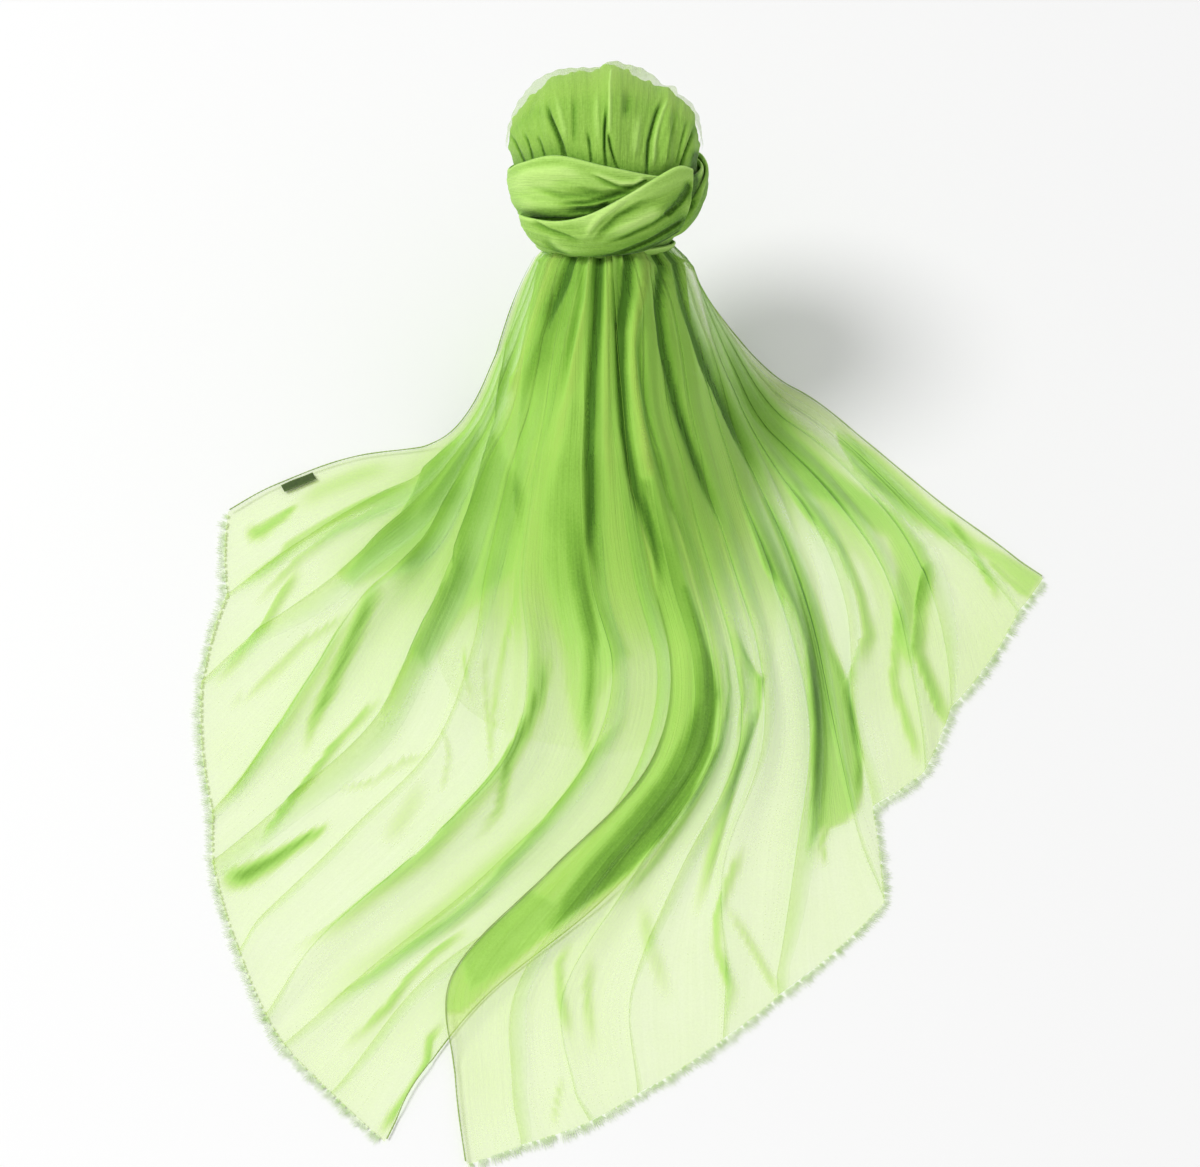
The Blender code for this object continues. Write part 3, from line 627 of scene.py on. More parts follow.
# %% Strokes of the dense middle and the neck, on both ends
STROKES["both"] = (
    # valleys between the neck's pleats: dented, with painted shade in them
    (-5.6, 6.3, 9, 6, 0, 0.5, (574, 258, 566, 285, 553, 310, 540, 345)),
    (-4.8, 5.6, 6, 8, 0, 0.35, (599, 258, 597, 314, 592, 377, 589, 440, 592, 545, 606, 600)),
    (-4.8, 2.8, 6, 6, 0, 0.5, (586, 258, 582, 300, 570, 360, 560, 430)),
    (-8, 9.8, 6, 9, 0, 0.4, (627, 255, 626, 290, 620, 330, 620, 370)),
    (-5.6, 6.3, 6, 9, 0.1, 0.3, (620, 330, 620, 370, 624, 430, 636, 493, 655, 550, 668, 600)),
    (-4.8, 5.6, 6, 7, 0, 0.3, (660, 258, 656, 300, 660, 345, 678, 415, 705, 490, 728, 541)),
    (-4.8, 4.2, 6, 6, 0, 0.4, (674, 258, 680, 300, 700, 360, 730, 430, 764, 500)),
    (-3.2, 3.5, 6, 9, 0.2, 0.4, (640, 300, 636, 350, 645, 420, 668, 500, 700, 570)),
    # painted shade down the right side of each pleat, on a slight dent
    (-1.6, 3.64, 6, (16, 34), 0, 0.35, (572, 262, 560, 300, 545, 340, 530, 400)),
    (-1.6, 3.08, 6, (14, 22), 0, 0.35, (597, 262, 594, 340, 590, 440, 592, 540, 604, 590)),
    (-1.6, 3.36, 6, (8, 12), 0, 0.35, (619, 262, 618, 330, 620, 400, 628, 470, 650, 545)),
    (-1.92, 3.92, 6, (10, 22), 0, 0.35, (658, 262, 655, 310, 668, 400, 696, 480, 722, 540)),
    (-1.6, 3.36, 6, (8, 20), 0, 0.35, (672, 262, 682, 310, 706, 380, 738, 440, 772, 500)),
    # no height: painted shade over the right side below the neck
    (0, 2.24, 14, 14, 0.2, 0.4, (700, 330, 722, 400, 752, 460, 790, 520)),
    # raised pleat crests with a painted highlight
    (2.4, -1.8, 12, 12, 0, 0.4, (556, 262, 545, 310, 524, 380, 505, 450)),
    (2.4, -1.8, 10, 11, 0, 0.4, (588, 262, 580, 330, 566, 420, 552, 510)),
    (1.92, -1.6, 7, 8, 0, 0.4, (609, 262, 606, 340, 605, 430, 612, 520)),
    (2.88, -2, 8, 9, 0, 0.4, (645, 262, 634, 320, 632, 380, 645, 460, 668, 540, 700, 620)),
    (1.92, -1.6, 8, 8, 0, 0.4, (688, 268, 704, 340, 735, 420, 785, 520, 820, 590)),
)

# %% Strokes of the right end, from its inner hem outwards
STROKES["right_end"] = (
    # each lays a fold's relief, with painted shadow in the layers of its wider flank beside the fold
    (2, 2.11, 2.5, 7, 0.22, 0.22, (719, 692, 724, 706, 718, 749, 701, 786, 680, 824, 656, 860, 619, 904, 613, 914)),
    (2.4, 3.16, 12, 5, 0.22, 0.25, (720, 605, 739, 650, 760, 685, 758, 711, 741, 761, 722, 827, 708, 878, 694, 928)),
    (2, 2.81, 4, 10, 0.22, 0.3, (745, 840, 727, 884, 715, 920, 715, 950, 730, 992, 727, 1028)),
    (1.5, 2.11, 2, 4, 0.3, 0.3, (722, 640, 728, 690, 724, 745)),
    (1.5, 1.76, 2, 4, 0.3, 0.3, (735, 655, 742, 700, 736, 752)),
    (2.5, 3.86, 3, (32, 20), 0.22, 0.3, (732, 487, 764, 567, 796, 624, 805, 653, 813, 733, 811, 839, 800, 887)),
    (1, 3.51, 10, 5, 0.22, 0.22, (828, 640, 845, 685, 859, 758, 861, 815)),
    (2.2, 3.51, 3, 17, 0.22, 0.3, (770, 470, 805, 516, 837, 554, 856, 599, 864, 637, 850, 675, 837, 710)),
    (2, 2.81, 3, 12, 0.22, 0.22, (893, 600, 895, 627, 891, 685, 904, 723, 920, 771)),
    (2.4, 3.86, 3, 18, 0.22, 0.22, (935, 555, 923, 573, 917, 605, 912, 656, 936, 710, 955, 737)),
    (1.8, 3.51, 2, 18, 0.22, 0.3, (829, 423, 856, 474, 891, 506, 936, 551)),
    (1.2, 2.81, 2, 9, 0.22, 0.22, (942, 513, 971, 554, 1000, 605)),
    (1.2, 2.46, 2, 7, 0.22, 0.22, (985, 560, 1005, 582, 1030, 602)),
    (1.5, 2.11, 6, 9, 0.3, 0.3, (574, 935, 558, 965, 560, 1000, 570, 1045)),
    (1.4, 1.76, 5, 9, 0.3, 0.4, (592, 950, 586, 990, 592, 1060)),
    (1, 1.4, 3, 5, 0.3, 0.3, (563, 1075, 557, 1100, 552, 1130)),
    (1.2, 1.23, 10, 12, 0.3, 0.4, (640, 895, 650, 950, 672, 1010)),
    (1.2, 1.76, 4, 9, 0.3, 0.22, (722, 905, 752, 950, 780, 1000)),
    (0.8, 2.11, 3, 6, 0.22, 0.22, (828, 870, 822, 845, 828, 828, 857, 816)),
)

# %% Pinches of the puff, left to right
STROKES["puff"] = (
    # pinches are dented with painted shade in them, and ridges raised with a painted highlight
    (-2.08, 5.4, 1.2, 3, 0.3, 0, (509, 132, 514, 142, 521, 156, 527, 168)),
    (-2.08, 5.4, 1.2, 3, 0.3, 0, (522, 130, 527, 142, 531, 154, 534, 168)),
    (-2.08, 4.86, 1.2, 3, 0.3, 0, (536, 134, 541, 146, 546, 162)),
    (-1.04, 1.35, 2, 6, 0.4, 0.4, (540, 88, 530, 104, 527, 120)),
    (-4.16, 7.43, (2, 5), (3, 4), 0.35, 0, (545, 98, 549, 116, 556, 132, 562, 146, 565, 160)),
    (1.17, -1.89, 6, 4, 0.4, 0.3, (556, 92, 562, 118, 569, 146)),
    (-1.56, 2.7, 2.5, 6, 0.4, 0.4, (574, 84, 573, 110, 573, 136, 576, 156)),
    (-2.6, 4.59, 2, 3, 0.4, 0, (586, 128, 589, 144, 591, 162)),
    (1.17, -1.62, 5, 4, 0.4, 0.3, (598, 84, 597, 116, 599, 150)),
    (-3.9, 8.1, 3, 1.8, 0.35, 0, (607, 100, 605, 130, 605, 148, 607, 172)),
    (1.82, -2.97, 1.2, 5, 0.1, 0.3, (611, 66, 609, 84, 609, 104, 609, 128, 610, 142)),
    (-3.38, 7.43, 2, 2, 0.15, 0, (608, 132, 611, 148, 615, 162, 621, 176)),
    (-1.56, 2.97, 7, 9, 0.4, 0.4, (626, 84, 627, 100, 625, 122)),
    (1.04, -1.76, 8, 8, 0.4, 0.3, (638, 110, 636, 134, 634, 160)),
    (-2.86, 5.67, 5, 1.2, 0.25, 0, (667, 94, 659, 110, 654, 126, 650, 142, 649, 158, 647, 180)),
    (1.82, -2.7, 1, 5, 0.2, 0.2, (669, 95, 661, 111, 656, 127, 653, 142, 652, 170)),
    (-1.3, 2.16, 2, 3, 0.4, 0.1, (676, 112, 672, 134, 668, 162)),
    (-1.56, 2.97, 2, 3, 0.4, 0.1, (688, 116, 683, 138, 676, 166)),
    (-3.12, 6.21, 2, 3, 0.3, 0, (696, 122, 692, 136, 686, 152, 680, 168)),
    # no height: painted shade in the hollow at the right of the puff
    (0, 6.75, 8, 8, 0.3, 0, (697, 146, 695, 160, 693, 180)),
)

# %% Creases of the windings
STROKES["upper_turn"] = (
    # creases are dented with painted shade, ridges raised with a painted highlight
    (-1.8, 4.76, (7, 3), 1.2, 0.3, 0, (592, 174, 606, 181, 620, 187, 634, 187, 647, 180)),
    (1.5, -3.06, 1.5, 6, 0.3, 0.1, (586, 170, 604, 178, 620, 184, 634, 184, 646, 178)),
    (-1.8, 4.42, 6, 5, 0.4, 0.2, (562, 190, 582, 190, 604, 194, 624, 192, 640, 187)),
    (-1.5, 3.06, 5, 6, 0.4, 0.3, (520, 186, 540, 190, 562, 197, 588, 196, 612, 198)),
    (-2.1, 4.76, 5, 5, 0.4, 0.2, (560, 214, 578, 210, 598, 209, 614, 202)),
    (1.8, -3.4, 12, 12, 0.3, 0.4, (512, 178, 540, 174, 566, 172, 590, 178)),
    (1.35, -2.38, 8, 8, 0.3, 0.4, (514, 200, 534, 206, 556, 206, 580, 202)),
    (-1.2, 3.74, 2, 8, 0.1, 0.1, (526, 216, 548, 221, 568, 222, 590, 217, 612, 204)),
    # the next three have no height and are painted light alone: a highlight at the upper left, shade along the lower
    # part, and deep shade in the hollow by the loop
    (0, -2.38, 20, 16, 0.3, 0.4, (500, 184, 530, 186, 566, 186)),
    (0, 3.74, 12, 16, 0.2, 0.1, (520, 214, 560, 214, 604, 208, 640, 196)),
    (0, 10.2, 9, 9, 0, 0, (695, 158, 694, 180, 690, 205)),
    (-1.8, 4.08, 2.5, 5, 0.4, 0.2, (544, 202, 566, 204, 588, 203, 610, 198, 628, 192)),
    (-1.2, 2.72, 2.5, 6, 0.4, 0.4, (508, 206, 522, 214, 538, 217)),
)
STROKES["cross_over"] = (
    # creases carry painted shade and ridges a painted highlight
    (-1.8, 4.08, 7, 2, 0.2, 0.3, (530, 219, 548, 229, 568, 236, 584, 243)),
    (1.8, -3.4, 4, 7, 0.3, 0.4, (584, 242, 590, 230, 602, 216, 616, 206, 632, 196)),
    (-1.8, 4.42, 9, 3, 0.3, 0.4, (590, 246, 602, 230, 618, 215, 640, 203, 662, 198)),
    (1.5, -2.72, 7, 9, 0.3, 0.3, (606, 238, 630, 226, 656, 212, 676, 196)),
    (-1.5, 6.12, 9, 3, 0.2, 0, (692, 178, 689, 190, 682, 203, 668, 216)),
    (-2.1, 6.12, 3.5, 1.2, 0.2, 0.1, (596, 262, 618, 258, 642, 250, 666, 240, 684, 228)),
    (-1.8, 5.78, 3, 1, 0.2, 0.1, (608, 256, 640, 244, 668, 230, 684, 218)),
    (1.2, -1.7, 6, 6, 0.3, 0.3, (548, 236, 562, 248, 578, 258)),
    # the next two have no height: painted shade over the lower right and next to the loop
    (0, 5.78, 8, 24, 0.3, 0.1, (570, 268, 616, 262, 660, 244, 696, 214)),
    (0, 3.74, 14, 14, 0.3, 0, (650, 212, 672, 204, 694, 190)),
    (-2.7, 7.65, 3, 2, 0.1, 0, (572, 264, 588, 262, 620, 252, 650, 240, 680, 222)),
    (-1.8, 5.1, 2.5, 4, 0.3, 0.1, (600, 246, 628, 236, 654, 224, 682, 204)),
    (-1.5, 3.74, 3, 7, 0.3, 0.3, (540, 240, 556, 252, 574, 260)),
    # no height: a painted highlight along the middle
    (0, -1.7, 9, 12, 0.2, 0.4, (572, 232, 600, 214, 626, 198, 660, 184)),
)
STROKES["back_loop"] = (
    # the whole loop is darkened as painted shade, deeper in its hollow, with a painted highlight on its ridge
    (0, 4.08, 30, 30, 0, 0, (704, 150, 700, 240)),
    (-2.4, 10.2, 7, 9, 0, 0.1, (699, 150, 697, 165, 694, 184, 688, 204, 676, 224)),
    (1.5, -2.55, 4, 3, 0.2, 0.2, (701, 158, 705, 176, 700, 196, 690, 216)),
)

# %% Patches of doubled cloth
PATCHES["left_end"] = (
    (1.5, 2, 8, (576, 400, 548, 500, 546, 560, 556, 620, 564, 650, 567, 692, 576, 725, 587, 757, 593, 702, 616, 666,
     628, 655, 609, 621, 599, 600, 592, 540, 586, 470)),
    (1, 2.1, 6, (500, 430, 466, 520, 462, 560, 440, 600, 412, 660, 425, 668, 470, 610, 515, 570, 530, 500)),
    (1, 1.8, 6, (484, 425, 455, 448, 425, 480, 400, 513, 370, 545, 338, 574, 352, 588, 390, 572, 420, 548, 445, 522,
     468, 492, 484, 465)),
)
PATCHES["right_end"] = (
    (1, 2.6, 2.5, (652, 659, 655, 600, 650, 540, 640, 480, 652, 470, 672, 540, 690, 600, 713, 671, 718, 697, 711, 754,
     691, 799, 663, 838, 630, 871, 602, 893, 569, 918, 520, 958, 463, 1013, 430, 1015, 435, 944, 470, 890, 516, 860,
     549, 832, 586, 800, 605, 776, 631, 745, 640, 700)),
    (0.8, 4.8, 8, (684, 590, 699, 621, 714, 671, 719, 697, 712, 754, 692, 799, 664, 838, 631, 871, 603, 893, 570, 917,
     552, 930, 562, 900, 585, 868, 610, 840, 634, 812, 660, 780, 684, 738, 699, 700, 699, 655)),
    (0.5, 1.8, 4, (494, 910, 530, 893, 556, 905, 552, 930, 500, 972, 470, 990, 462, 960)),
    (0.8, 3, 4, (760, 500, 790, 570, 806, 640, 814, 733, 812, 800, 808, 850, 822, 828, 857, 812, 861, 770, 850, 710,
     838, 670, 815, 600, 788, 545)),
    (0.6, 2.3, 5, (848, 437, 873, 452, 908, 482, 933, 507, 978, 542, 1043, 577, 1028, 597, 998, 567, 968, 546, 938,
     537, 913, 517, 873, 487, 858, 462)),
    (0.8, 2.3, 6, (728, 342, 758, 387, 793, 437, 833, 472, 868, 497, 898, 517, 923, 547, 930, 572, 925, 602, 913, 622,
     910, 667, 898, 647, 895, 607, 898, 567, 888, 537, 863, 527, 828, 502, 793, 492, 768, 467, 748, 427, 728, 387)),
    # the next two take a layer away, so these places are lighter
    (0, -1, 6, (783, 397, 848, 439, 868, 477, 898, 507, 933, 537, 918, 542, 873, 499, 833, 469, 798, 437)),
    (0, -1, 6, (793, 507, 838, 537, 863, 567, 875, 607, 868, 647, 860, 677, 848, 672, 833, 627, 818, 577, 798, 537)),
)


def lay_strokes(piece, points):
    """The height and the layers, with their painted shade and highlights, that strokes and patches add to a piece's
    points.
    """
    places = picture_place(points)
    height, layers_and_painted_light = np.zeros(points.shape[:-1]), np.zeros(points.shape[:-1])
    own = STROKES.get(piece, ()) + (STROKES["both"] if piece.endswith("_end") else ())
    shapes = [(rise, layers, line_shape(places, line, *sizes)) for rise, layers, *sizes, line in own]
    shapes += [(rise, layers, patch_shape(places, outline, soft))
               for rise, layers, soft, outline in PATCHES.get(piece, ())]
    for rise, layers, shape in shapes:
        height += rise * MM * shape
        layers_and_painted_light += layers * shape
    return height, layers_and_painted_light


print("strokes", {name: len(rows) for name, rows in STROKES.items()})

# %% [markdown]
# ## One pleated end
# An end is one sheet. At every fold row the cloth of the panel before it runs under, turns, comes back, and rolls
# over into the next panel, so the tucked strip is three layers deep and shows as a darker band. The width left
# over near the neck, where a panel has less room than at the fringe, is what goes into the tuck.

# %% Cross-section and build of an end
END_STATIONS, STATION_POWER = 176, 0.92
HEM_LIFT = 1.1 * MM
TUCK_EASE, WIDEST_TUCK, LEAST_TUCK, TUCK_ROOM = 7.0 * MM, 30.0 * MM, 0.8 * MM, 0.80
TRIPLE = 3.0


class PleatedEnd:
    """One end of the scarf, from its fold rows; a lifted end lies over the other one."""

    def __init__(self, name, folds, lifted):
        self.name, self.folds, self.lifted = name, folds, lifted
        self.along = (np.arange(END_STATIONS + 1) / END_STATIONS) ** STATION_POWER
        self.radii = np.array([fold.radius(self.along) for fold in folds])
        self.bearings = np.array([fold.bearing(r) for fold, r in zip(folds, self.radii)])
        self.counts = np.array([fold.layer_count(r) for fold, r in zip(folds, self.radii)])
        base = surface(self.bearings, self.radii)
        self.span = np.linalg.norm(np.diff(base, axis=0), axis=-1)
        self.columns = []
        for k in range(len(folds) - 1):
            self.lay_panel(k)
        self.place_points()

    def put(self, fold, x, height, doubled=1.0, shown=1.0):
        """One column: x metres right of a fold line, at a height over the ground."""
        place = np.clip(fold + x / self.span[fold], 0.0, len(self.span))
        self.columns.append(np.broadcast_arrays(place, height, doubled, shown))

    def fold_sizes(self, k):
        """A tuck's width, its fold's height, and how much of that height is a soft swell.

        The tuck takes the spare cloth, or what the panel has room for, with a soft change between them.
        """
        span, fold = self.span[k], self.folds[k]
        spare = (span[-1] + 2 * fold.overlap - span) / 2
        limits = (spare, TUCK_ROOM * span, WIDEST_TUCK)
        tuck = np.maximum(-TUCK_EASE * np.log(sum(np.exp(-limit / TUCK_EASE) for limit in limits)), 0.0) + LEAST_TUCK
        rise = np.minimum(fold.crest * crest_share(self.along), 0.40 * span)
        return tuck, rise, rise * (1.0 - smooth_step(0.5 * MM, 18.0 * MM, tuck))

    def thin(self, share):
        """A tuck thins out towards its hidden turn, so its band fades on that side."""
        return 0.55 - 0.45 * smooth_step(0.1, 1.0, share)

    def lay_panel(self, k):
        """One panel's columns: tuck, return, roll, and the cloth on to the next fold."""
        span = self.span[k]
        wide = 0.0 * span
        if k == 0:
            self.put(k, wide, HEM_LIFT)
        else:
            tuck, rise, base = self.fold_sizes(k)
            wide = np.minimum(np.maximum(0.55 * span, tuck + 4 * MM), 0.92 * span)
            calm = smooth_step(0.08, 0.26, self.radii[k])
            turn = (0.25 + 0.75 * calm) * TURN * smooth_step(0.0, 4.0 * MM, tuck) + 0.05 * MM
            roll = np.maximum((rise - base - turn) / 2, (0.08 + 0.17 * calm) * MM)
            for share in (0.22, 0.45, 0.68, 0.88):
                self.put(k, tuck * share, base, TRIPLE, self.thin(share))
            self.put(k, tuck + 0.2 * MM, base + turn / 2, TRIPLE, self.thin(1.0))
            for share in (0.88, 0.66, 0.44, 0.22):
                self.put(k, tuck * share, base + turn, TRIPLE, self.thin(share))
            for turned in np.radians((-70, -35, 0, 30, 60, 90)):
                self.put(k, 0.6 * roll * (1 - math.cos(turned)), base + turn + roll * (1 + math.sin(turned)),
                         TRIPLE, 0.45 + 0.55 * max(math.sin(turned), 0.0))
            for share in (0.10, 0.22, 0.36, 0.50, 0.64, 0.78, 0.90, 1.0):
                x = 0.6 * roll + (wide - 0.6 * roll) * share
                cover = 1.0 - smooth_step(0.0, 1.0, (x - tuck) / (4 * MM))
                height = np.maximum((base + turn + 2 * roll) * np.cos(math.pi / 2 * share) ** 2,
                                    (turn + 0.6 * MM) * cover)
                self.put(k, x, height, TRIPLE - 2.0 * smooth_step(-1.0, 1.0, (x - tuck) / (1.5 * MM)))
        lean = self.fold_sizes(k + 1)[2] if k + 1 < len(self.span) else 0.0 * span
        for share in (0.14, 0.3, 0.46, 0.6, 0.72, 0.82, 0.91, 1.0) if k else np.linspace(0.08, 1.0, 13):
            x = wide + (span - wide) * share
            near = (span - x) / (1.3 * lean + 1 * MM)
            self.put(k, x, lean * np.cos(np.clip(near, 0, 1) * math.pi / 2) ** 2)

    def place_points(self):
        """The grid of points, with the layers that lie at each and how many this sheet stands for."""
        place, height, doubled, shown = (np.stack(part, axis=1) for part in zip(*self.columns))
        index = np.clip(place.astype(int), 0, len(self.span) - 1)
        mix = place - index

        def pick(table, step=0):
            return np.take_along_axis(table.T, index + step, 1)

        radius, bearing, count = (pick(table) * (1 - mix) + pick(table, 1) * mix
                                  for table in (self.radii, self.bearings, self.counts))
        ground = surface(bearing, radius, over_left_end(bearing, radius) if self.lifted else 0.0)
        # strokes and patches raise or dent the sheet and add layers, partly doubled cloth and partly painted shade and
        # highlights
        extra, layers_and_painted_light = lay_strokes(self.name, ground)
        sway = 0.5 + 0.5 * np.sin(place * 5.1 + radius * 31.0) * np.sin(place * 2.3 - radius * 17.0 + 1.0)
        plump = 4.0 * MM * (1.0 - smooth_step(0.09, 0.24, radius)) * np.maximum(np.cos(bearing), 0.0)
        height = height + 1.6 * MM * sway * smooth_step(0.12, 0.25, radius) + plump
        height = np.maximum(height + extra, np.minimum(height, 0.3 * MM))
        points = ground + surface_normal(bearing, radius) * height[..., None]
        level = np.abs(grid_normals(ground)[..., 2])
        steep = np.abs(grid_normals(points)[..., 2]) / np.maximum(level, 1e-9)
        steep = np.clip(np.where(level == 0.0, 1.0, steep), 0.35, 1.0)
        tucks = np.clip((self.span[:, -1:] - self.span) / 2, 0, TUCK_ROOM * self.span)
        mean = 1.0 + 2.0 * pick(tucks) / pick(self.span)
        calm = smooth_step(0.09, 0.26, radius)
        drawn = 1.0 + 0.55 * (doubled - 1.0)
        layers = np.maximum(count * (doubled / mean) ** (0.45 * calm), drawn) + layers_and_painted_light
        layers = np.clip(layers / steep ** (0.2 + 0.4 * calm), 0.9, 13.0)
        gather = np.maximum(layers / drawn, 0.85) * shown
        self.points = points
        across = np.cumsum(np.linalg.norm(np.diff(points, axis=1, prepend=points[:, :1]), axis=-1).max(axis=0))
        down = np.cumsum(np.linalg.norm(np.diff(points, axis=0, prepend=points[:1]), axis=-1), axis=0)
        flat = np.stack([np.broadcast_to(across, down.shape), down], axis=-1)
        points, flat, layers, gather = self.tuck_under(points, flat, layers, gather)
        self.piece = cloth_grid(self.name + "_cloth", points, flat, {"layers": layers, "gather": gather},
                                material=SHEER)
        self.piece.visible_shadow = False

    def tuck_under(self, points, flat, layers, gather):
        """The pleats run on up and inwards, under the windings that grip them."""
        centre = np.array([NECK_FOOT[0], NECK_FOOT[1], NECK_HEIGHT])
        axis = np.array([0.0, math.sin(LEAN), math.cos(LEAN)])
        steps = (1.0, 0.66, 0.33)
        rows = [points[:1] + axis * 9 * MM * s + (centre - points[:1]) * 0.17 * s for s in steps]
        flats = [flat[:1] - np.array([0.0, 10 * MM * s]) for s in steps]
        layers, gather = (np.concatenate([grid[:1]] * len(steps) + [grid]) for grid in (layers, gather))
        return np.concatenate(rows + [points]), np.concatenate(flats + [flat]), layers, gather


left_end = PleatedEnd("left_end", LEFT, False)
right_end = PleatedEnd("right_end", RIGHT, True)
for end in (left_end, right_end):
    dress(end.piece, end.name)

# %% [markdown]
# ## Rolled hems
# The long edges are rolled and stitched by hand, so they show as a thin darker cord. A cord could be a bevelled
# curve; here a ring of points is swept along the sheet's own edge, and the roll swells a little between stitches.

# %% Hems along the long edges
HEM_STITCH, HEM_THICK, HEM_STEP = 3.2 * MM, 0.42 * MM, 1.1 * MM
HEM_SIDES = 8
HEM_STOPS = [(0.25, (0.25, 0.38, 0.085, 1.0)), (0.75, (0.42, 0.56, 0.180, 1.0))]
NECK_GREEN = (0.31, 0.59, 0.065, 1.0)


def hem_finish():
    finish = Finish("rolled_hem")
    worn, thread = finish.noise(260.0, 3.0), finish.noise(1500.0, 1.0)
    cord = finish.node("ValToRGB", {"stops": HEM_STOPS}, Fac=worn * 0.7 + thread * 0.3)
    blended = finish.mix(stored(finish, "shown"), NECK_GREEN, cord)
    bump = finish.node("Bump", Strength=0.5, Distance=0.3 * MM, Height=thread)
    finish.shade(Base_Color=blended, Roughness=worn * 0.2 + 0.65, Normal=bump, Specular_IOR_Level=0.25)
    return finish.material


HEM_FINISH = hem_finish()


def rolled_hem(name, edge, inside, bare):
    """A cord along an edge of a sheet, just outside it. Edge and inside are two of the sheet's columns, and
    bare is how far from the neck the cord begins to show."""
    lengths = np.concatenate([[0.0], np.cumsum(np.linalg.norm(np.diff(edge, axis=0), axis=-1))])
    run = np.arange(0.0, lengths[-1] - 1.2 * MM, HEM_STEP)
    path = np.stack([np.interp(run, lengths, edge[:, i]) for i in range(3)], axis=-1)
    near = np.stack([np.interp(run, lengths, inside[:, i]) for i in range(3)], axis=-1)
    tangent = np.gradient(path, axis=0)
    tangent /= np.linalg.norm(tangent, axis=-1, keepdims=True)
    out = path - near
    out -= (out * tangent).sum(-1, keepdims=True) * tangent
    out /= np.linalg.norm(out, axis=-1, keepdims=True)
    up = np.cross(tangent, out)
    up *= np.sign(up[:, 2:3])
    swell = HEM_THICK * (1.0 + 0.16 * np.cos(2 * math.pi * run / HEM_STITCH) + 0.10 * np.sin(run * 190.0))
    shown = smooth_step(bare, bare + 60 * MM, run)
    swell = swell * (0.2 + 0.8 * shown)
    centre = path + out * 0.6 * MM + up * 0.35 * MM
    turn = np.arange(HEM_SIDES) * 2 * math.pi / HEM_SIDES
    ring = (np.cos(turn)[None, :, None] * out[:, None] + np.sin(turn)[None, :, None] * up[:, None])
    points = centre[:, None] + ring * swell[:, None, None]
    points[:, :, 2] = np.maximum(points[:, :, 2], 0.05 * MM)
    flat = np.stack(np.broadcast_arrays(turn[None] * HEM_THICK, run[:, None]), axis=-1)
    piece = cloth_grid(name, points, flat, {"shown": np.repeat(shown[:, None], HEM_SIDES, axis=1)}, wrap=True,
                       material=HEM_FINISH)
    close_ends(piece, HEM_SIDES)
    return piece


for node, end, column, inner, bare in (
        ("hem_left_outer", left_end, 0, 1, 0.0), ("hem_left_inner", left_end, -1, -2, 0.30),
        ("hem_right_inner", right_end, 0, 1, 0.30), ("hem_right_outer", right_end, -1, -2, 0.0)):
    hem = rolled_hem(node.replace("hem", "roll"), end.points[:, column], end.points[:, inner], bare)
    dress(hem, node)

# %% [markdown]
# ## Eyelash fringe
# The cut ends are frayed for a few millimetres, and the loose yarns cling together in small pale tufts. One tuft
# is modelled from tapered cones, then copied along each cut edge, each copy turned and stretched a little.

# %% One tuft of yarn
# lean degrees, length mm, sideways mm
STRANDS = ((-24, 4.6, -0.9), (-9, 6.0, -0.4), (3, 5.2, 0.1), (14, 6.2, 0.5), (27, 4.2, 1.0))
FRINGE_STOPS = [(0.3, (0.55, 0.72, 0.36, 1.0)), (0.7, (0.86, 0.93, 0.74, 1.0))]
TUFT_EVERY = 4.3 * MM


def yarn_tuft():
    strands = []
    for lean, length, side in STRANDS:
        bpy.ops.object.select_all(action="DESELECT")
        bpy.ops.mesh.primitive_cone_add(vertices=5, radius1=0.42 * MM, radius2=0.07 * MM, depth=length * MM,
                                        location=(0, 0, 0), rotation=(-math.pi / 2, 0, 0))
        strand = bpy.context.object
        bpy.ops.object.transform_apply(location=False, rotation=True, scale=False)
        edited(strand, (bpy.ops.transform.translate, {"value": (side * MM, length * MM / 2, 0.0)}),
               (bpy.ops.transform.rotate, {"value": math.radians(lean), "orient_axis": "Z",
                                           "center_override": (side * MM, 0, 0)}))
        strands.append(strand)
    bpy.ops.object.select_all(action="DESELECT")
    for strand in strands:
        strand.select_set(True)
    bpy.context.view_layer.objects.active = strands[0]
    bpy.ops.object.join()
    tuft = bpy.context.object
    corners = np.array([v.co[:] for v in tuft.data.vertices])
    faces = [tuple(p.vertices) for p in tuft.data.polygons]
    bpy.data.objects.remove(tuft)
    return corners, faces


TUFT, TUFT_FACES = yarn_tuft()
print("tuft faces", len(TUFT_FACES), "reach mm", TUFT[:, 1].max() / MM)


# %% Fringe along both cut edges
def fringe_finish():
    finish = Finish("fringe_yarn")
    patch = finish.noise(180.0)
    shade = finish.node("ValToRGB", {"stops": FRINGE_STOPS}, Fac=patch)
    finish.shade(Base_Color=shade, Roughness=patch * 0.2 + 0.7, Specular_IOR_Level=0.2)
    return finish.material


FRINGE_FINISH = fringe_finish()


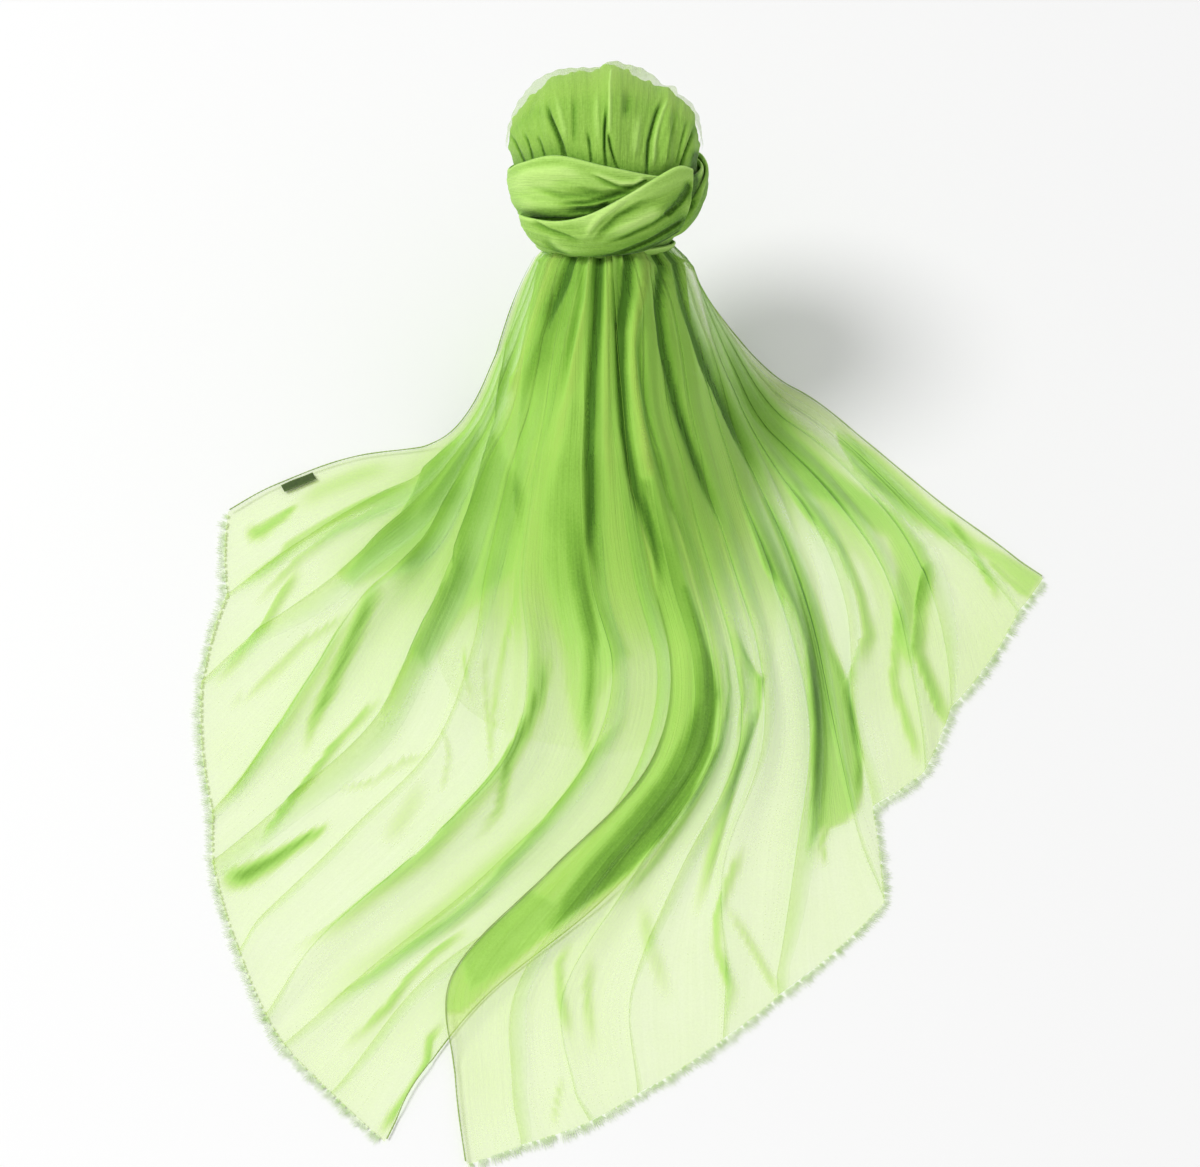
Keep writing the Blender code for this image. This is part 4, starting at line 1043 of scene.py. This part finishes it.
def fringe(name, end):
    last = len(end.folds) - 1
    fine = np.linspace(0.0, last, 900)
    radius = np.interp(fine, range(last + 1), end.radii[:, -1])
    bearing = np.interp(fine, range(last + 1), end.bearings[:, -1])
    lift = over_left_end(bearing, radius) if end.lifted else 0.0
    edge = surface(bearing, radius, lift)
    run = np.concatenate([[0.0], np.cumsum(np.linalg.norm(np.diff(edge, axis=0), axis=-1))])
    count = int((run[-1] - 3 * MM) / TUFT_EVERY)
    corners, faces = [], []
    for i in range(count):
        jitter = math.sin(i * 12.9898) * 43758.5453 % 1.0
        other = math.sin(i * 78.233) * 12543.123 % 1.0
        at = 1.5 * MM + (i + 0.5 + 0.5 * (jitter - 0.5)) * TUFT_EVERY
        here = np.array([np.interp(at, run, edge[:, j]) for j in range(3)])
        ahead = np.array([np.interp(at + 2 * MM, run, edge[:, j]) for j in range(3)])
        way = (ahead - here)[:2]
        way /= np.linalg.norm(way)
        out = np.array([way[1], -way[0]])
        swing = (other - 0.5) * 0.5
        out = np.array([out[0] * math.cos(swing) - out[1] * math.sin(swing),
                        out[0] * math.sin(swing) + out[1] * math.cos(swing)])
        side = np.array([-out[1], out[0]])
        reach = 0.85 + 0.45 * jitter
        spread = 0.8 + 0.5 * other
        place = here[:2] + TUFT[:, :1] * spread * side + (TUFT[:, 1:2] * reach - 0.5 * MM) * out
        height = here[2] * np.exp(-TUFT[:, 1] / (4 * MM)) + TUFT[:, 2] + 0.1 * MM + 0.5 * MM * jitter
        base = len(corners) * len(TUFT)
        corners.append(np.column_stack([place, np.maximum(height, 0.05 * MM)]))
        faces += [tuple(base + v for v in face) for face in TUFT_FACES]
    mesh = bpy.data.meshes.new(name)
    mesh.from_pydata(np.concatenate(corners).tolist(), [], faces)
    mesh.update()
    mesh.materials.append(FRINGE_FINISH)
    piece = bpy.data.objects.new(name, mesh)
    bpy.context.scene.collection.objects.link(piece)
    return piece


fringe_left = fringe("eyelash_left", left_end)
fringe_right = fringe("eyelash_right", right_end)
dress(fringe_left, "fringe_left")
dress(fringe_right, "fringe_right")

# %% [markdown]
# ## The woven label
# A small dark woven tab lies along the outer hem of the left end. It is left blank. A plane is cut to its size,
# divided so that it can take a slight wave, given a thickness and bevelled, and its finish is a fine rib with a
# lighter woven border.

# %% Blank woven label
LABEL_NEAR, LABEL_LENGTH, LABEL_WIDTH, LABEL_HEIGHT = 213.0 * MM, 24.0 * MM, 6.0 * MM, 2.7 * MM
LABEL_STOPS = [(0.1, (0.030, 0.060, 0.008, 1.0)), (0.9, (0.115, 0.20, 0.035, 1.0))]
WEFT, WARP, LABEL_RIM = 0.45 * MM, 0.55 * MM, 0.9 * MM


def label_finish(centre, run, across):
    finish = Finish("woven_label")
    place = finish.node("TexCoord", output=3)

    def vector_maths(operation, output, first, second):
        made = finish.node("VectorMath", {"operation": operation}, output)
        for slot, value in zip(made.output.node.inputs, (first, second)):
            finish.feed(slot, value)
        return made

    offset = vector_maths("SUBTRACT", 0, place, centre)
    along, over = (vector_maths("DOT_PRODUCT", 1, offset, direction) for direction in (run, across))
    weave = (over * (2 * math.pi / WEFT)).maths("SINE", 0.0) * (along * (2 * math.pi / WARP)).maths("SINE", 0.0)
    rim = over.maths("ABSOLUTE", 0.0).maths("GREATER_THAN", LABEL_WIDTH / 2 - LABEL_RIM)
    mottled = finish.noise(500.0)
    tone = weave * 0.12 + mottled * 0.5 + rim * 0.25 + 0.1
    shade = finish.node("ValToRGB", {"stops": LABEL_STOPS}, Fac=tone)
    bump = finish.node("Bump", Strength=0.6, Distance=0.15 * MM, Height=weave)
    finish.shade(Base_Color=shade, Roughness=mottled * 0.2 + 0.5, Normal=bump)
    return finish.material


hem_line = left_end.points[:, 0]
hem_far = np.hypot(hem_line[:, 0] - NECK_FOOT[0], hem_line[:, 1] - NECK_FOOT[1])
near = np.array([np.interp(LABEL_NEAR, hem_far, hem_line[:, j]) for j in range(2)])
far = np.array([np.interp(LABEL_NEAR + LABEL_LENGTH, hem_far, hem_line[:, j]) for j in range(2)])
run = (far - near) / np.linalg.norm(far - near)
inward = np.array([-run[1], run[0]])
middle = (near + far) / 2 + inward * (1.5 * MM + LABEL_WIDTH / 2)
bpy.ops.mesh.primitive_plane_add(size=1.0, location=(0, 0, 0))
label = bpy.context.object
label.name = "woven_tab"
edited(label, (bpy.ops.transform.resize, {"value": (LABEL_LENGTH - 0.4 * MM, LABEL_WIDTH, 1.0)}),
       (bpy.ops.mesh.subdivide, {"number_cuts": 11}))
for corner in label.data.vertices:
    x, y = corner.co.x, corner.co.y
    wave = 0.25 * MM * math.sin(x * 300.0 + 0.6) + 0.2 * MM * (abs(y) / (LABEL_WIDTH / 2)) ** 2
    place = middle + run * x + inward * y
    corner.co = (place[0], place[1], LABEL_HEIGHT + wave)
wall = label.modifiers.new("wall", "SOLIDIFY")
wall.thickness, wall.offset = 0.45 * MM, -1.0
edge = label.modifiers.new("edge", "BEVEL")
edge.width, edge.segments = 0.12 * MM, 2
edge.limit_method, edge.angle_limit = "ANGLE", math.radians(50)
bpy.context.view_layer.objects.active = label
bpy.ops.object.modifier_apply(modifier="wall")
bpy.ops.object.modifier_apply(modifier="edge")
bpy.ops.object.shade_smooth_by_angle(angle=math.radians(40))
label.data.materials.append(label_finish((*middle, LABEL_HEIGHT), (*run, 0.0), (*inward, 0.0)))
dress(label, "label")
print("label at", np.round(middle, 4))

# %% [markdown]
# ## The gathered cloth
# Where the scarf is bunched, many layers lie together and nothing shows through, so this finish has no cover
# share. It picks its green from the stored number of layers too, and that number carries painted light: ridges
# are given few layers and glow as a painted highlight, valleys and pinches many and go deep green as painted
# shade. A fine crepe grain and short creases along the threads give the dry hand of cashmere.

# %% Finish of the head, windings and inner pleats
GATHERED = (
    (2.0, (0.58, 0.85, 0.24)), (4.0, (0.44, 0.73, 0.150)), (6.0, (0.305, 0.56, 0.080)),
    (8.5, (0.20, 0.42, 0.045)), (10.5, (0.11, 0.27, 0.018)), (12.0, (0.055, 0.15, 0.008)),
)
GATHERED_STOPS = [(count / DEEPEST, (*colour, 1.0)) for count, colour in GATHERED]


def gathered_finish(name, across, along):
    finish = Finish(name)
    streak = thread_streaks(finish, across, along)
    fine = thread_streaks(finish, across * 3.1, along * 2.3, 2.0)
    grain = finish.noise(520.0, rough=0.7)
    layers = stored(finish, "layers") * (streak * 0.22 + fine * 0.20 + grain * 0.46 + 0.56)
    colour = finish.node("ValToRGB", {"stops": GATHERED_STOPS}, Fac=layers * (1.0 / DEEPEST))
    height = streak * 0.8 + fine * 0.35 + grain * 0.70
    bump = finish.node("Bump", Strength=0.9, Distance=0.7 * MM, Height=height)
    finish.shade(Base_Color=colour, Roughness=grain * 0.2 + 0.68, Normal=bump, Specular_IOR_Level=0.2,
                 Sheen_Weight=0.22, Sheen_Roughness=0.4, Sheen_Tint=SHEEN_TINT)
    return finish.material


PUFF_FINISH = gathered_finish("gathered_puff", 420.0, 26.0)
WINDING_FINISH = gathered_finish("gathered_winding", 420.0, 22.0)
print("gathered stops", len(GATHERED_STOPS))

# %% [markdown]
# ## Inner pleats
# Under the two fans, the middle of the scarf falls straight from the windings as a pleated skirt: opaque behind,
# where nothing else covers it, and thinning out in front under the fans, where it only deepens their green.

# %% Inner pleated skirt
HEAP_OUTLINE = ((0, 300), (22, 270), (42, 150), (62, 88), (90, 68), (130, 63), (180, 60))
HEAP_SINK = 2.4 * MM
SKIRT_SIDES, SKIRT_ROWS = 300, 96
BACK_PLEATS = 11
SKIRT_ROUND = 0.55
HEAD_AXIS = np.array([0.0, math.sin(LEAN), math.cos(LEAN)])
HEAD_FRONT = np.array([0.0, -math.cos(LEAN), math.sin(LEAN)])
HEAD_RIGHT = np.array([1.0, 0.0, 0.0])
NECK_CENTRE = np.array([NECK_FOOT[0], NECK_FOOT[1], NECK_HEIGHT])
HEAD_CENTRE = NECK_CENTRE + HEAD_AXIS * NECK_BELOW_HEAD


def skirt_points():
    angle = -math.pi + 2 * math.pi * np.arange(SKIRT_SIDES) / SKIRT_SIDES
    share = np.linspace(0.0, 1.0, SKIRT_ROWS)[:, None]
    angles = np.broadcast_to(angle, (SKIRT_ROWS, SKIRT_SIDES))
    edge = curve_through([a for a, r in HEAP_OUTLINE], [r for a, r in HEAP_OUTLINE], np.degrees(np.abs(angle))) * MM
    across, forward, up = neck_place(neck_angle(angle), NECK_RADIUS - 3.5 * MM)
    start = np.hypot(across, forward)
    behind = smooth_step(math.radians(80), math.radians(115), np.abs(angle))
    pleat = 0.62 * np.cos(BACK_PLEATS * angle) + 0.38 * np.cos(23 * angle + 1.3 * np.sin(3 * angle))
    fine = np.sin(61 * angle + 2.0 * np.sin(5 * angle)) * 0.5
    flute = 1.0 + (0.060 * pleat + 0.016 * fine) * share * behind - 0.012 * behind
    front_radius = start + (edge - start) * share
    foot = np.minimum(foot_radius(angle), edge)
    top = fall_height(angle, front_radius, foot)
    rounded = np.sqrt(np.maximum(1.0 - share**6, 0.0))
    sink = HEAP_SINK * np.minimum(steepness(angle, front_radius), 1.8)
    ripple = 0.8 * MM * (np.sin(37 * angle + 9 * share) + 0.6 * fine) * (1 - share)
    front_height = np.maximum((top + heap_height(angle, front_radius)) * rounded - sink + ripple, 0.2 * MM)
    back_radius = start + (edge - start) * share**1.6
    back_height = (up - 3.0 * MM) * (1.0 - share)
    radius = (front_radius * (1 - behind) + back_radius * behind) * flute
    height = front_height * (1 - behind) + back_height * behind
    points = np.stack([NECK_FOOT[0] + radius * np.sin(angles), NECK_FOOT[1] - radius * np.cos(angles), height], -1)
    # the back pleats' ridges take fewer layers and their valleys more: painted highlight and shade
    depth = 7.5 - 2.2 * pleat * behind - 0.8 * fine
    thinning = (1.0 - smooth_step(0.28, 0.92, share)) * (1 - behind) + behind
    layers = depth * (0.35 + 0.65 * thinning)
    gather = 14.0 * behind + (0.2 + 4.0 * thinning**2.2) * (1 - behind)
    return points, np.broadcast_to(layers, radius.shape), np.broadcast_to(gather, radius.shape), angle


skirt, skirt_layers, skirt_gather, skirt_angle = skirt_points()
stem_across, stem_forward, stem_up = neck_place(neck_angle(skirt_angle), NECK_RADIUS - 0.5 * MM)
rim = np.stack([NECK_FOOT[0] + stem_across, NECK_FOOT[1] - stem_forward, stem_up], -1) - HEAD_AXIS * 1.0 * MM
stem_in = NECK_CENTRE + (rim - NECK_CENTRE) * 0.78 + HEAD_AXIS * 6.0 * MM
skirt = np.concatenate([stem_in[None], rim[None], skirt[1:]])
skirt_layers, skirt_gather = (np.concatenate([grid[:1], grid]) for grid in (skirt_layers, skirt_gather))
back_line = skirt[:, SKIRT_SIDES // 2]
down = np.cumsum(np.linalg.norm(np.diff(back_line, axis=0, prepend=back_line[:1]), axis=-1))
round_neck = np.arange(SKIRT_SIDES) / SKIRT_SIDES * SKIRT_ROUND
skirt_flat = np.stack(np.broadcast_arrays(round_neck[None], down[:, None]), axis=-1)
inner_skirt = cloth_grid("inner_skirt", skirt[:, ::-1], skirt_flat, {"layers": skirt_layers[:, ::-1],
                         "gather": skirt_gather[:, ::-1]}, wrap=True, material=SHEER)
dress(inner_skirt, "inner_folds")

# %% [markdown]
# ## The puff
# The puff is the scarf's middle pushed up through the windings: arches of cloth that fan out from below and are
# pinched where the winding grips them. A ball could be sculpted; instead the puff is an arched ball with lobes
# round its crown and small creases fanning from a pivot under the head, and each pinch is a stroke with its
# depth, its width, its painted shade and where it fades, so the puff reads pleat by pleat from the table.

# %% Pleats of the puff
# degrees from the top seen from the front, radius mm
CROWN_LOBES = (
    (-90, 62), (-78, 64.5), (-70, 66), (-57, 66), (-42, 64), (-34, 65), (-20, 62), (-10, 60), (-4, 61),
    (2, 63.5), (6, 63.5), (16, 60), (27, 59), (34, 60), (40, 64), (45, 62.5), (52, 65), (60, 66), (68, 64), (90, 62),
)
VEIL_LOBES = (
    (-90, 62), (-73, 67), (-60, 68.5), (-47, 69.5), (-35, 69), (-25, 66.5), (-17, 64), (-6, 61.5), (4, 65.5), (11, 65),
    (21, 65), (32, 64), (36, 62), (43, 67), (47, 65), (55, 68), (62, 68), (72, 66), (90, 62),
)
FAN_PIVOT = 100.0 * MM
BAND_UPPER = ((-180, -30, 6), (-90, -34, -4), (-60, -33, 3), (-30, -31, 10), (0, -31, 4), (30, -31, -3),
              (60, -31, -6), (120, -30, 3), (180, -30, 6))
BAND_CROSS = ((-84, -44, -33), (-60, -50, -31), (-30, -55, -32), (-10, -56, -27), (10, -55, -15), (28, -53, -3),
              (42, -47, 3), (54, -41, 0))
BAND_LOOP = ((66, -38, 2), (80, -42, 9), (100, -44, 9), (130, -48, 2), (180, -50, -6), (230, -45, -16),
             (270, -38, -26))
BAND_LOWER = ((-180, -58.5, -52), (0, -58.5, -52), (180, -58.5, -52))
PUFF_RINGS, PUFF_SIDES = 330, 220
PUFF_DEEP, PUFF_LENGTH = 57 * MM, 0.60


def puff_shape(lobes, rings, arc):
    """Directions over an arched ball whose poles lie left and right, the radius of the bundle inside it, how
    far the cloth stands off that, how free it is of the winding, and the height above the winding's edge."""
    turn = math.pi * (np.arange(rings) + 0.5) / rings
    turn, angle = np.meshgrid(turn, arc, indexing="ij")
    tilt = np.degrees(turn) - 90.0
    across, front, up = -np.cos(turn), np.sin(turn) * np.cos(angle), np.sin(turn) * np.sin(angle)
    bundle = HEAD_RADIUS - 1.2 * MM
    lobe = curve_through([a for a, r in lobes], [r for a, r in lobes], tilt) * MM - bundle
    around = np.degrees(np.arctan2(across, front))
    edge = curve_through([r[0] for r in BAND_UPPER], [r[2] for r in BAND_UPPER], around) * MM
    above = up * HEAD_RADIUS - edge
    free = smooth_step(1.5 * MM, 15.0 * MM, above)
    return across, front, up, bundle, lobe, free, above, tilt


def on_head(across, front, up):
    return (HEAD_CENTRE + across[..., None] * HEAD_RIGHT + front[..., None] * HEAD_FRONT
            + up[..., None] * HEAD_AXIS)


def facing_front(front):
    return smooth_step(-0.15, 0.10, front)


def make_puff():
    arc = 2 * math.pi * np.arange(PUFF_SIDES) / PUFF_SIDES
    across, front, up, bundle, lobe, free, above, tilt = puff_shape(CROWN_LOBES, PUFF_RINGS, arc)
    pinch = smooth_step(0.0, 9 * MM, above)
    fan = np.degrees(np.arctan2(across * 64 * MM, up * 64 * MM + FAN_PIVOT))
    crease = 0.16 * np.sin(fan * 1.9 + 1.5 * np.sin(up * 4.5)) + 0.10 * np.sin(fan * 4.3 + up * 4 + 1.0)
    behind = 1.0 - facing_front(front)
    crease = crease + behind * (1.4 * np.cos(fan * 1.05 + 0.5) ** 3 + 0.5 * np.cos(fan * 2.3))
    radius = bundle + lobe * free
    rise, layers_and_painted_light = lay_strokes("puff", on_head(across * radius, front * radius, up * radius))
    seen = smooth_step(0.0, 0.25, front)
    relief = (rise * seen + crease * MM) * smooth_step(-0.05, 0.10, up)
    # raised creases lose layers as a painted highlight, and the strokes' painted shade and highlights show on the
    # front
    layers_and_painted_light = layers_and_painted_light * seen - crease * 1.2
    radius = radius + relief * (0.35 + 0.65 * free)
    low = up < 0
    height = np.where(low, np.maximum(up * HEAD_DROP, -PUFF_DEEP), up * radius)
    radius = np.where(low, bundle, radius)
    points = on_head(across * radius, front * radius, height)
    # close above the winding's edge the puff is darkened: painted shade where it goes under the band
    layers = np.clip(6.2 + layers_and_painted_light + 2.2 * (1.0 - pinch), 2.5, 12.0)
    threads = np.arange(1, PUFF_RINGS + 1) * PUFF_LENGTH / PUFF_RINGS
    flat = np.stack(np.broadcast_arrays(threads[:, None], (arc * 64 * MM)[None]), axis=-1)
    piece = cloth_grid("puff", points, flat, {"layers": layers}, wrap=True, material=PUFF_FINISH)
    close_ends(piece, 0)
    dress(piece, "crown")
    return piece


puff = make_puff()

# %% [markdown]
# ## The veil round the puff
# One loose layer stands off the puff's crown, and only its rim is seen against the light as a pale border. It is
# one sheer sheet over the top, thinning to nothing where it comes down onto the pleats in front and behind.

# %% Sheer veil
VEIL_RINGS, VEIL_SIDES = 300, 84
VEIL_FROM, VEIL_TO = 38, 142


def make_veil():
    arc = np.radians(np.linspace(VEIL_FROM, VEIL_TO, VEIL_SIDES))
    across, front, up, bundle, lobe, free, above, tilt = puff_shape(VEIL_LOBES, VEIL_RINGS, arc)
    wave = 0.5 * np.sin(tilt * 0.9 + 1.0) + 0.4 * np.sin(tilt * 0.41 + front * 9)
    radius = bundle + (lobe + wave * MM * 0.6) * np.maximum(free, 0.12) + 0.3 * MM
    points = on_head(across * radius, front * radius, up * radius)
    inside = smooth_step(0.02, 0.30, np.minimum(arc - arc[0], arc[-1] - arc))[None]
    rim = 1.0 + 0.8 * smooth_step(0.75, 1.0, up)
    gather = 0.75 * inside * (1.0 - smooth_step(72, 82, np.abs(tilt))) * rim
    layers = np.full_like(gather, 2.4)
    threads = np.arange(1, VEIL_RINGS + 1) * PUFF_LENGTH / VEIL_RINGS
    flat = np.stack(np.broadcast_arrays(threads[:, None], (arc * 66 * MM)[None]), axis=-1)
    piece = cloth_grid("puff_veil", points[:, ::-1], flat[:, ::-1], {"layers": layers[:, ::-1],
                       "gather": gather[:, ::-1]}, material=SHEER)
    piece.visible_shadow = False
    dress(piece)
    return piece


veil = make_veil()

# %% [markdown]
# ## The windings
# The scarf is wound round its own neck: a wide upper turn, a stretch that crosses over it from lower left to
# upper right, a loop that carries on round the back, and a narrow lower turn that grips the skirt. Each is a
# pleated sheet that wraps the bundle between a lower and an upper edge, with the edges turned in. The creases
# that catch the eye are strokes again, laid on the winding's own surface.

# %% Windings
WINDING_DIP = 1.7 * MM
TURNED_IN = 2.5 * MM
WRAP_RADIUS = 66.0 * MM
FRONT_RELIEF = 0.45


def ball_radius(up):
    below = np.clip(up / HEAD_DROP, -1.0, 0.0)
    return HEAD_RADIUS * np.sqrt(1.0 - below**2)


def winding(name, node, rows, layer, pleats, step=1.1, across=64, seed=0.0, sink=0.0, leave=0.0):
    """A pleated sheet round the head between the edges given in rows, lying a layer off the bundle.

    It comes out from under the others over `sink` degrees and goes back in over `leave` degrees.
    """
    start, stop = rows[0][0], rows[-1][0]
    closed = stop - start >= 360
    degrees = np.linspace(start, stop, int((stop - start) / step) + 1)
    if closed:
        degrees = degrees[:-1]
    angle = np.radians(degrees)[:, None]
    knots = [r[0] for r in rows]
    low, high = (curve_through(knots, [r[i] for r in rows], degrees)[:, None] * MM for i in (1, 2))
    width = high - low
    share = np.linspace(0.0, 1.0, across)[None] + 0.0 * angle
    up = low + width * share
    emerging = (smooth_step(0.0, max(sink, 1e-3), degrees - start)
                * smooth_step(0.0, max(leave, 1e-3), stop - degrees))[:, None]
    dip = WINDING_DIP if sink else 0.0
    base = ball_radius(up) + 0.7 * MM + (layer + dip) * emerging - dip
    swell = np.sin(math.pi * share)
    waves = pleats * math.pi * share
    relief = (0.55 * np.sin(waves + 1.3 * np.sin(angle))
              + 0.32 * np.sin(2.3 * waves + 2.1 * np.sin(1.7 * angle + seed) + seed)
              + 0.16 * np.sin(5.1 * waves + 3.0 * np.sin(1.1 * angle) + 2 * seed))
    fine = 0.14 * np.sin(7.75 * waves + 5 * np.sin(2 * angle + seed))
    edge = np.minimum(share, 1 - share) * width
    turned = np.sqrt(1 - (1 - np.clip(edge / (1.6 * MM), 0, 1)) ** 2)
    seen = facing_front(np.cos(angle)) + 0 * up
    relief = relief * (1.0 - (1.0 - FRONT_RELIEF) * seen)
    thick = 2.2 * MM + 1.2 * MM * swell + (0.9 * relief + 0.35 * fine) * MM * swell
    whole = base + thick
    raised, layers_and_painted_light = lay_strokes(name, on_head(whole * np.sin(angle), whole * np.cos(angle), up))
    radius = base + np.maximum(thick + raised * seen, 0.7 * MM) * (0.25 + 0.75 * turned)
    if not closed:
        ends = np.minimum(degrees - start, stop - degrees)[:, None]
        radius = base + (radius - base) * (0.35 + 0.65 * smooth_step(0.0, 3.0, ends))
    # layers carry painted light: raised relief takes layers away as a painted highlight and sunk relief adds them as
    # painted shade, with the strokes' own on the front; the cloth is darker along the lower edge, and a painted
    # highlight runs just inside the upper edge
    layers = 4.9 - 1.4 * relief - 0.5 * fine + layers_and_painted_light * seen
    layers += 2.5 * (1 - smooth_step(0, 3.5 * MM, edge)) * (share < 0.5)
    layers -= 1.6 * np.exp(-((edge - 1.2 * MM) / (1.3 * MM)) ** 2) * (share > 0.5)
    layers = np.clip(layers, 2.5, 12.0)

    def with_edges(first, grid, last):
        return np.concatenate([first, grid, last], axis=1)

    radius = with_edges(base[:, :1] + 0.1 * MM, radius, base[:, -1:] + 0.1 * MM)
    up = with_edges(low + TURNED_IN, up, high - TURNED_IN)
    layers = with_edges(layers[:, :1] + 3, layers, layers[:, -1:] + 3)
    over = with_edges(-TURNED_IN + 0 * low, share * width, width + TURNED_IN) * 3.0
    points = on_head(radius * np.sin(angle), radius * np.cos(angle), up)
    flat = np.stack([over, np.radians(degrees - start)[:, None] * WRAP_RADIUS + 0 * up], axis=-1)
    if closed:
        points, flat, layers = (np.concatenate([grid, grid[:1]], axis=0) for grid in (points, flat, layers))
        flat[-1, :, 1] = 2 * math.pi * WRAP_RADIUS
    piece = cloth_grid(name, points, flat, {"layers": layers}, material=WINDING_FINISH)
    if closed:
        edited(piece, (bpy.ops.mesh.remove_doubles, {"threshold": 0.02 * MM}))
    dress(piece, node)
    return piece


SECOND_LAYER = 7.5 * MM
LOOP_LAYER = 3.4 * MM
upper_turn = winding("upper_turn", "band_upper", BAND_UPPER, 0.0, 4)
lower_turn = winding("lower_turn", "band_lower", BAND_LOWER, 0.0, 2, across=14, seed=2.0)
cross_over = winding("cross_over", "band_cross", BAND_CROSS, SECOND_LAYER, 5, step=0.7, seed=1.0, sink=34.0)
LOOP_SHOWN = ((50, -50, -38), (58, -47, -26), (67, -43, -16), (77, -38, -9), (88, -36, -4), (100, -38, 1),
              (114, -42, 5)) + BAND_LOOP[3:]
back_loop = winding("back_loop", "band_loop", LOOP_SHOWN, LOOP_LAYER, 4, step=0.8, across=48, seed=3.0,
                    sink=16.0, leave=30.0)
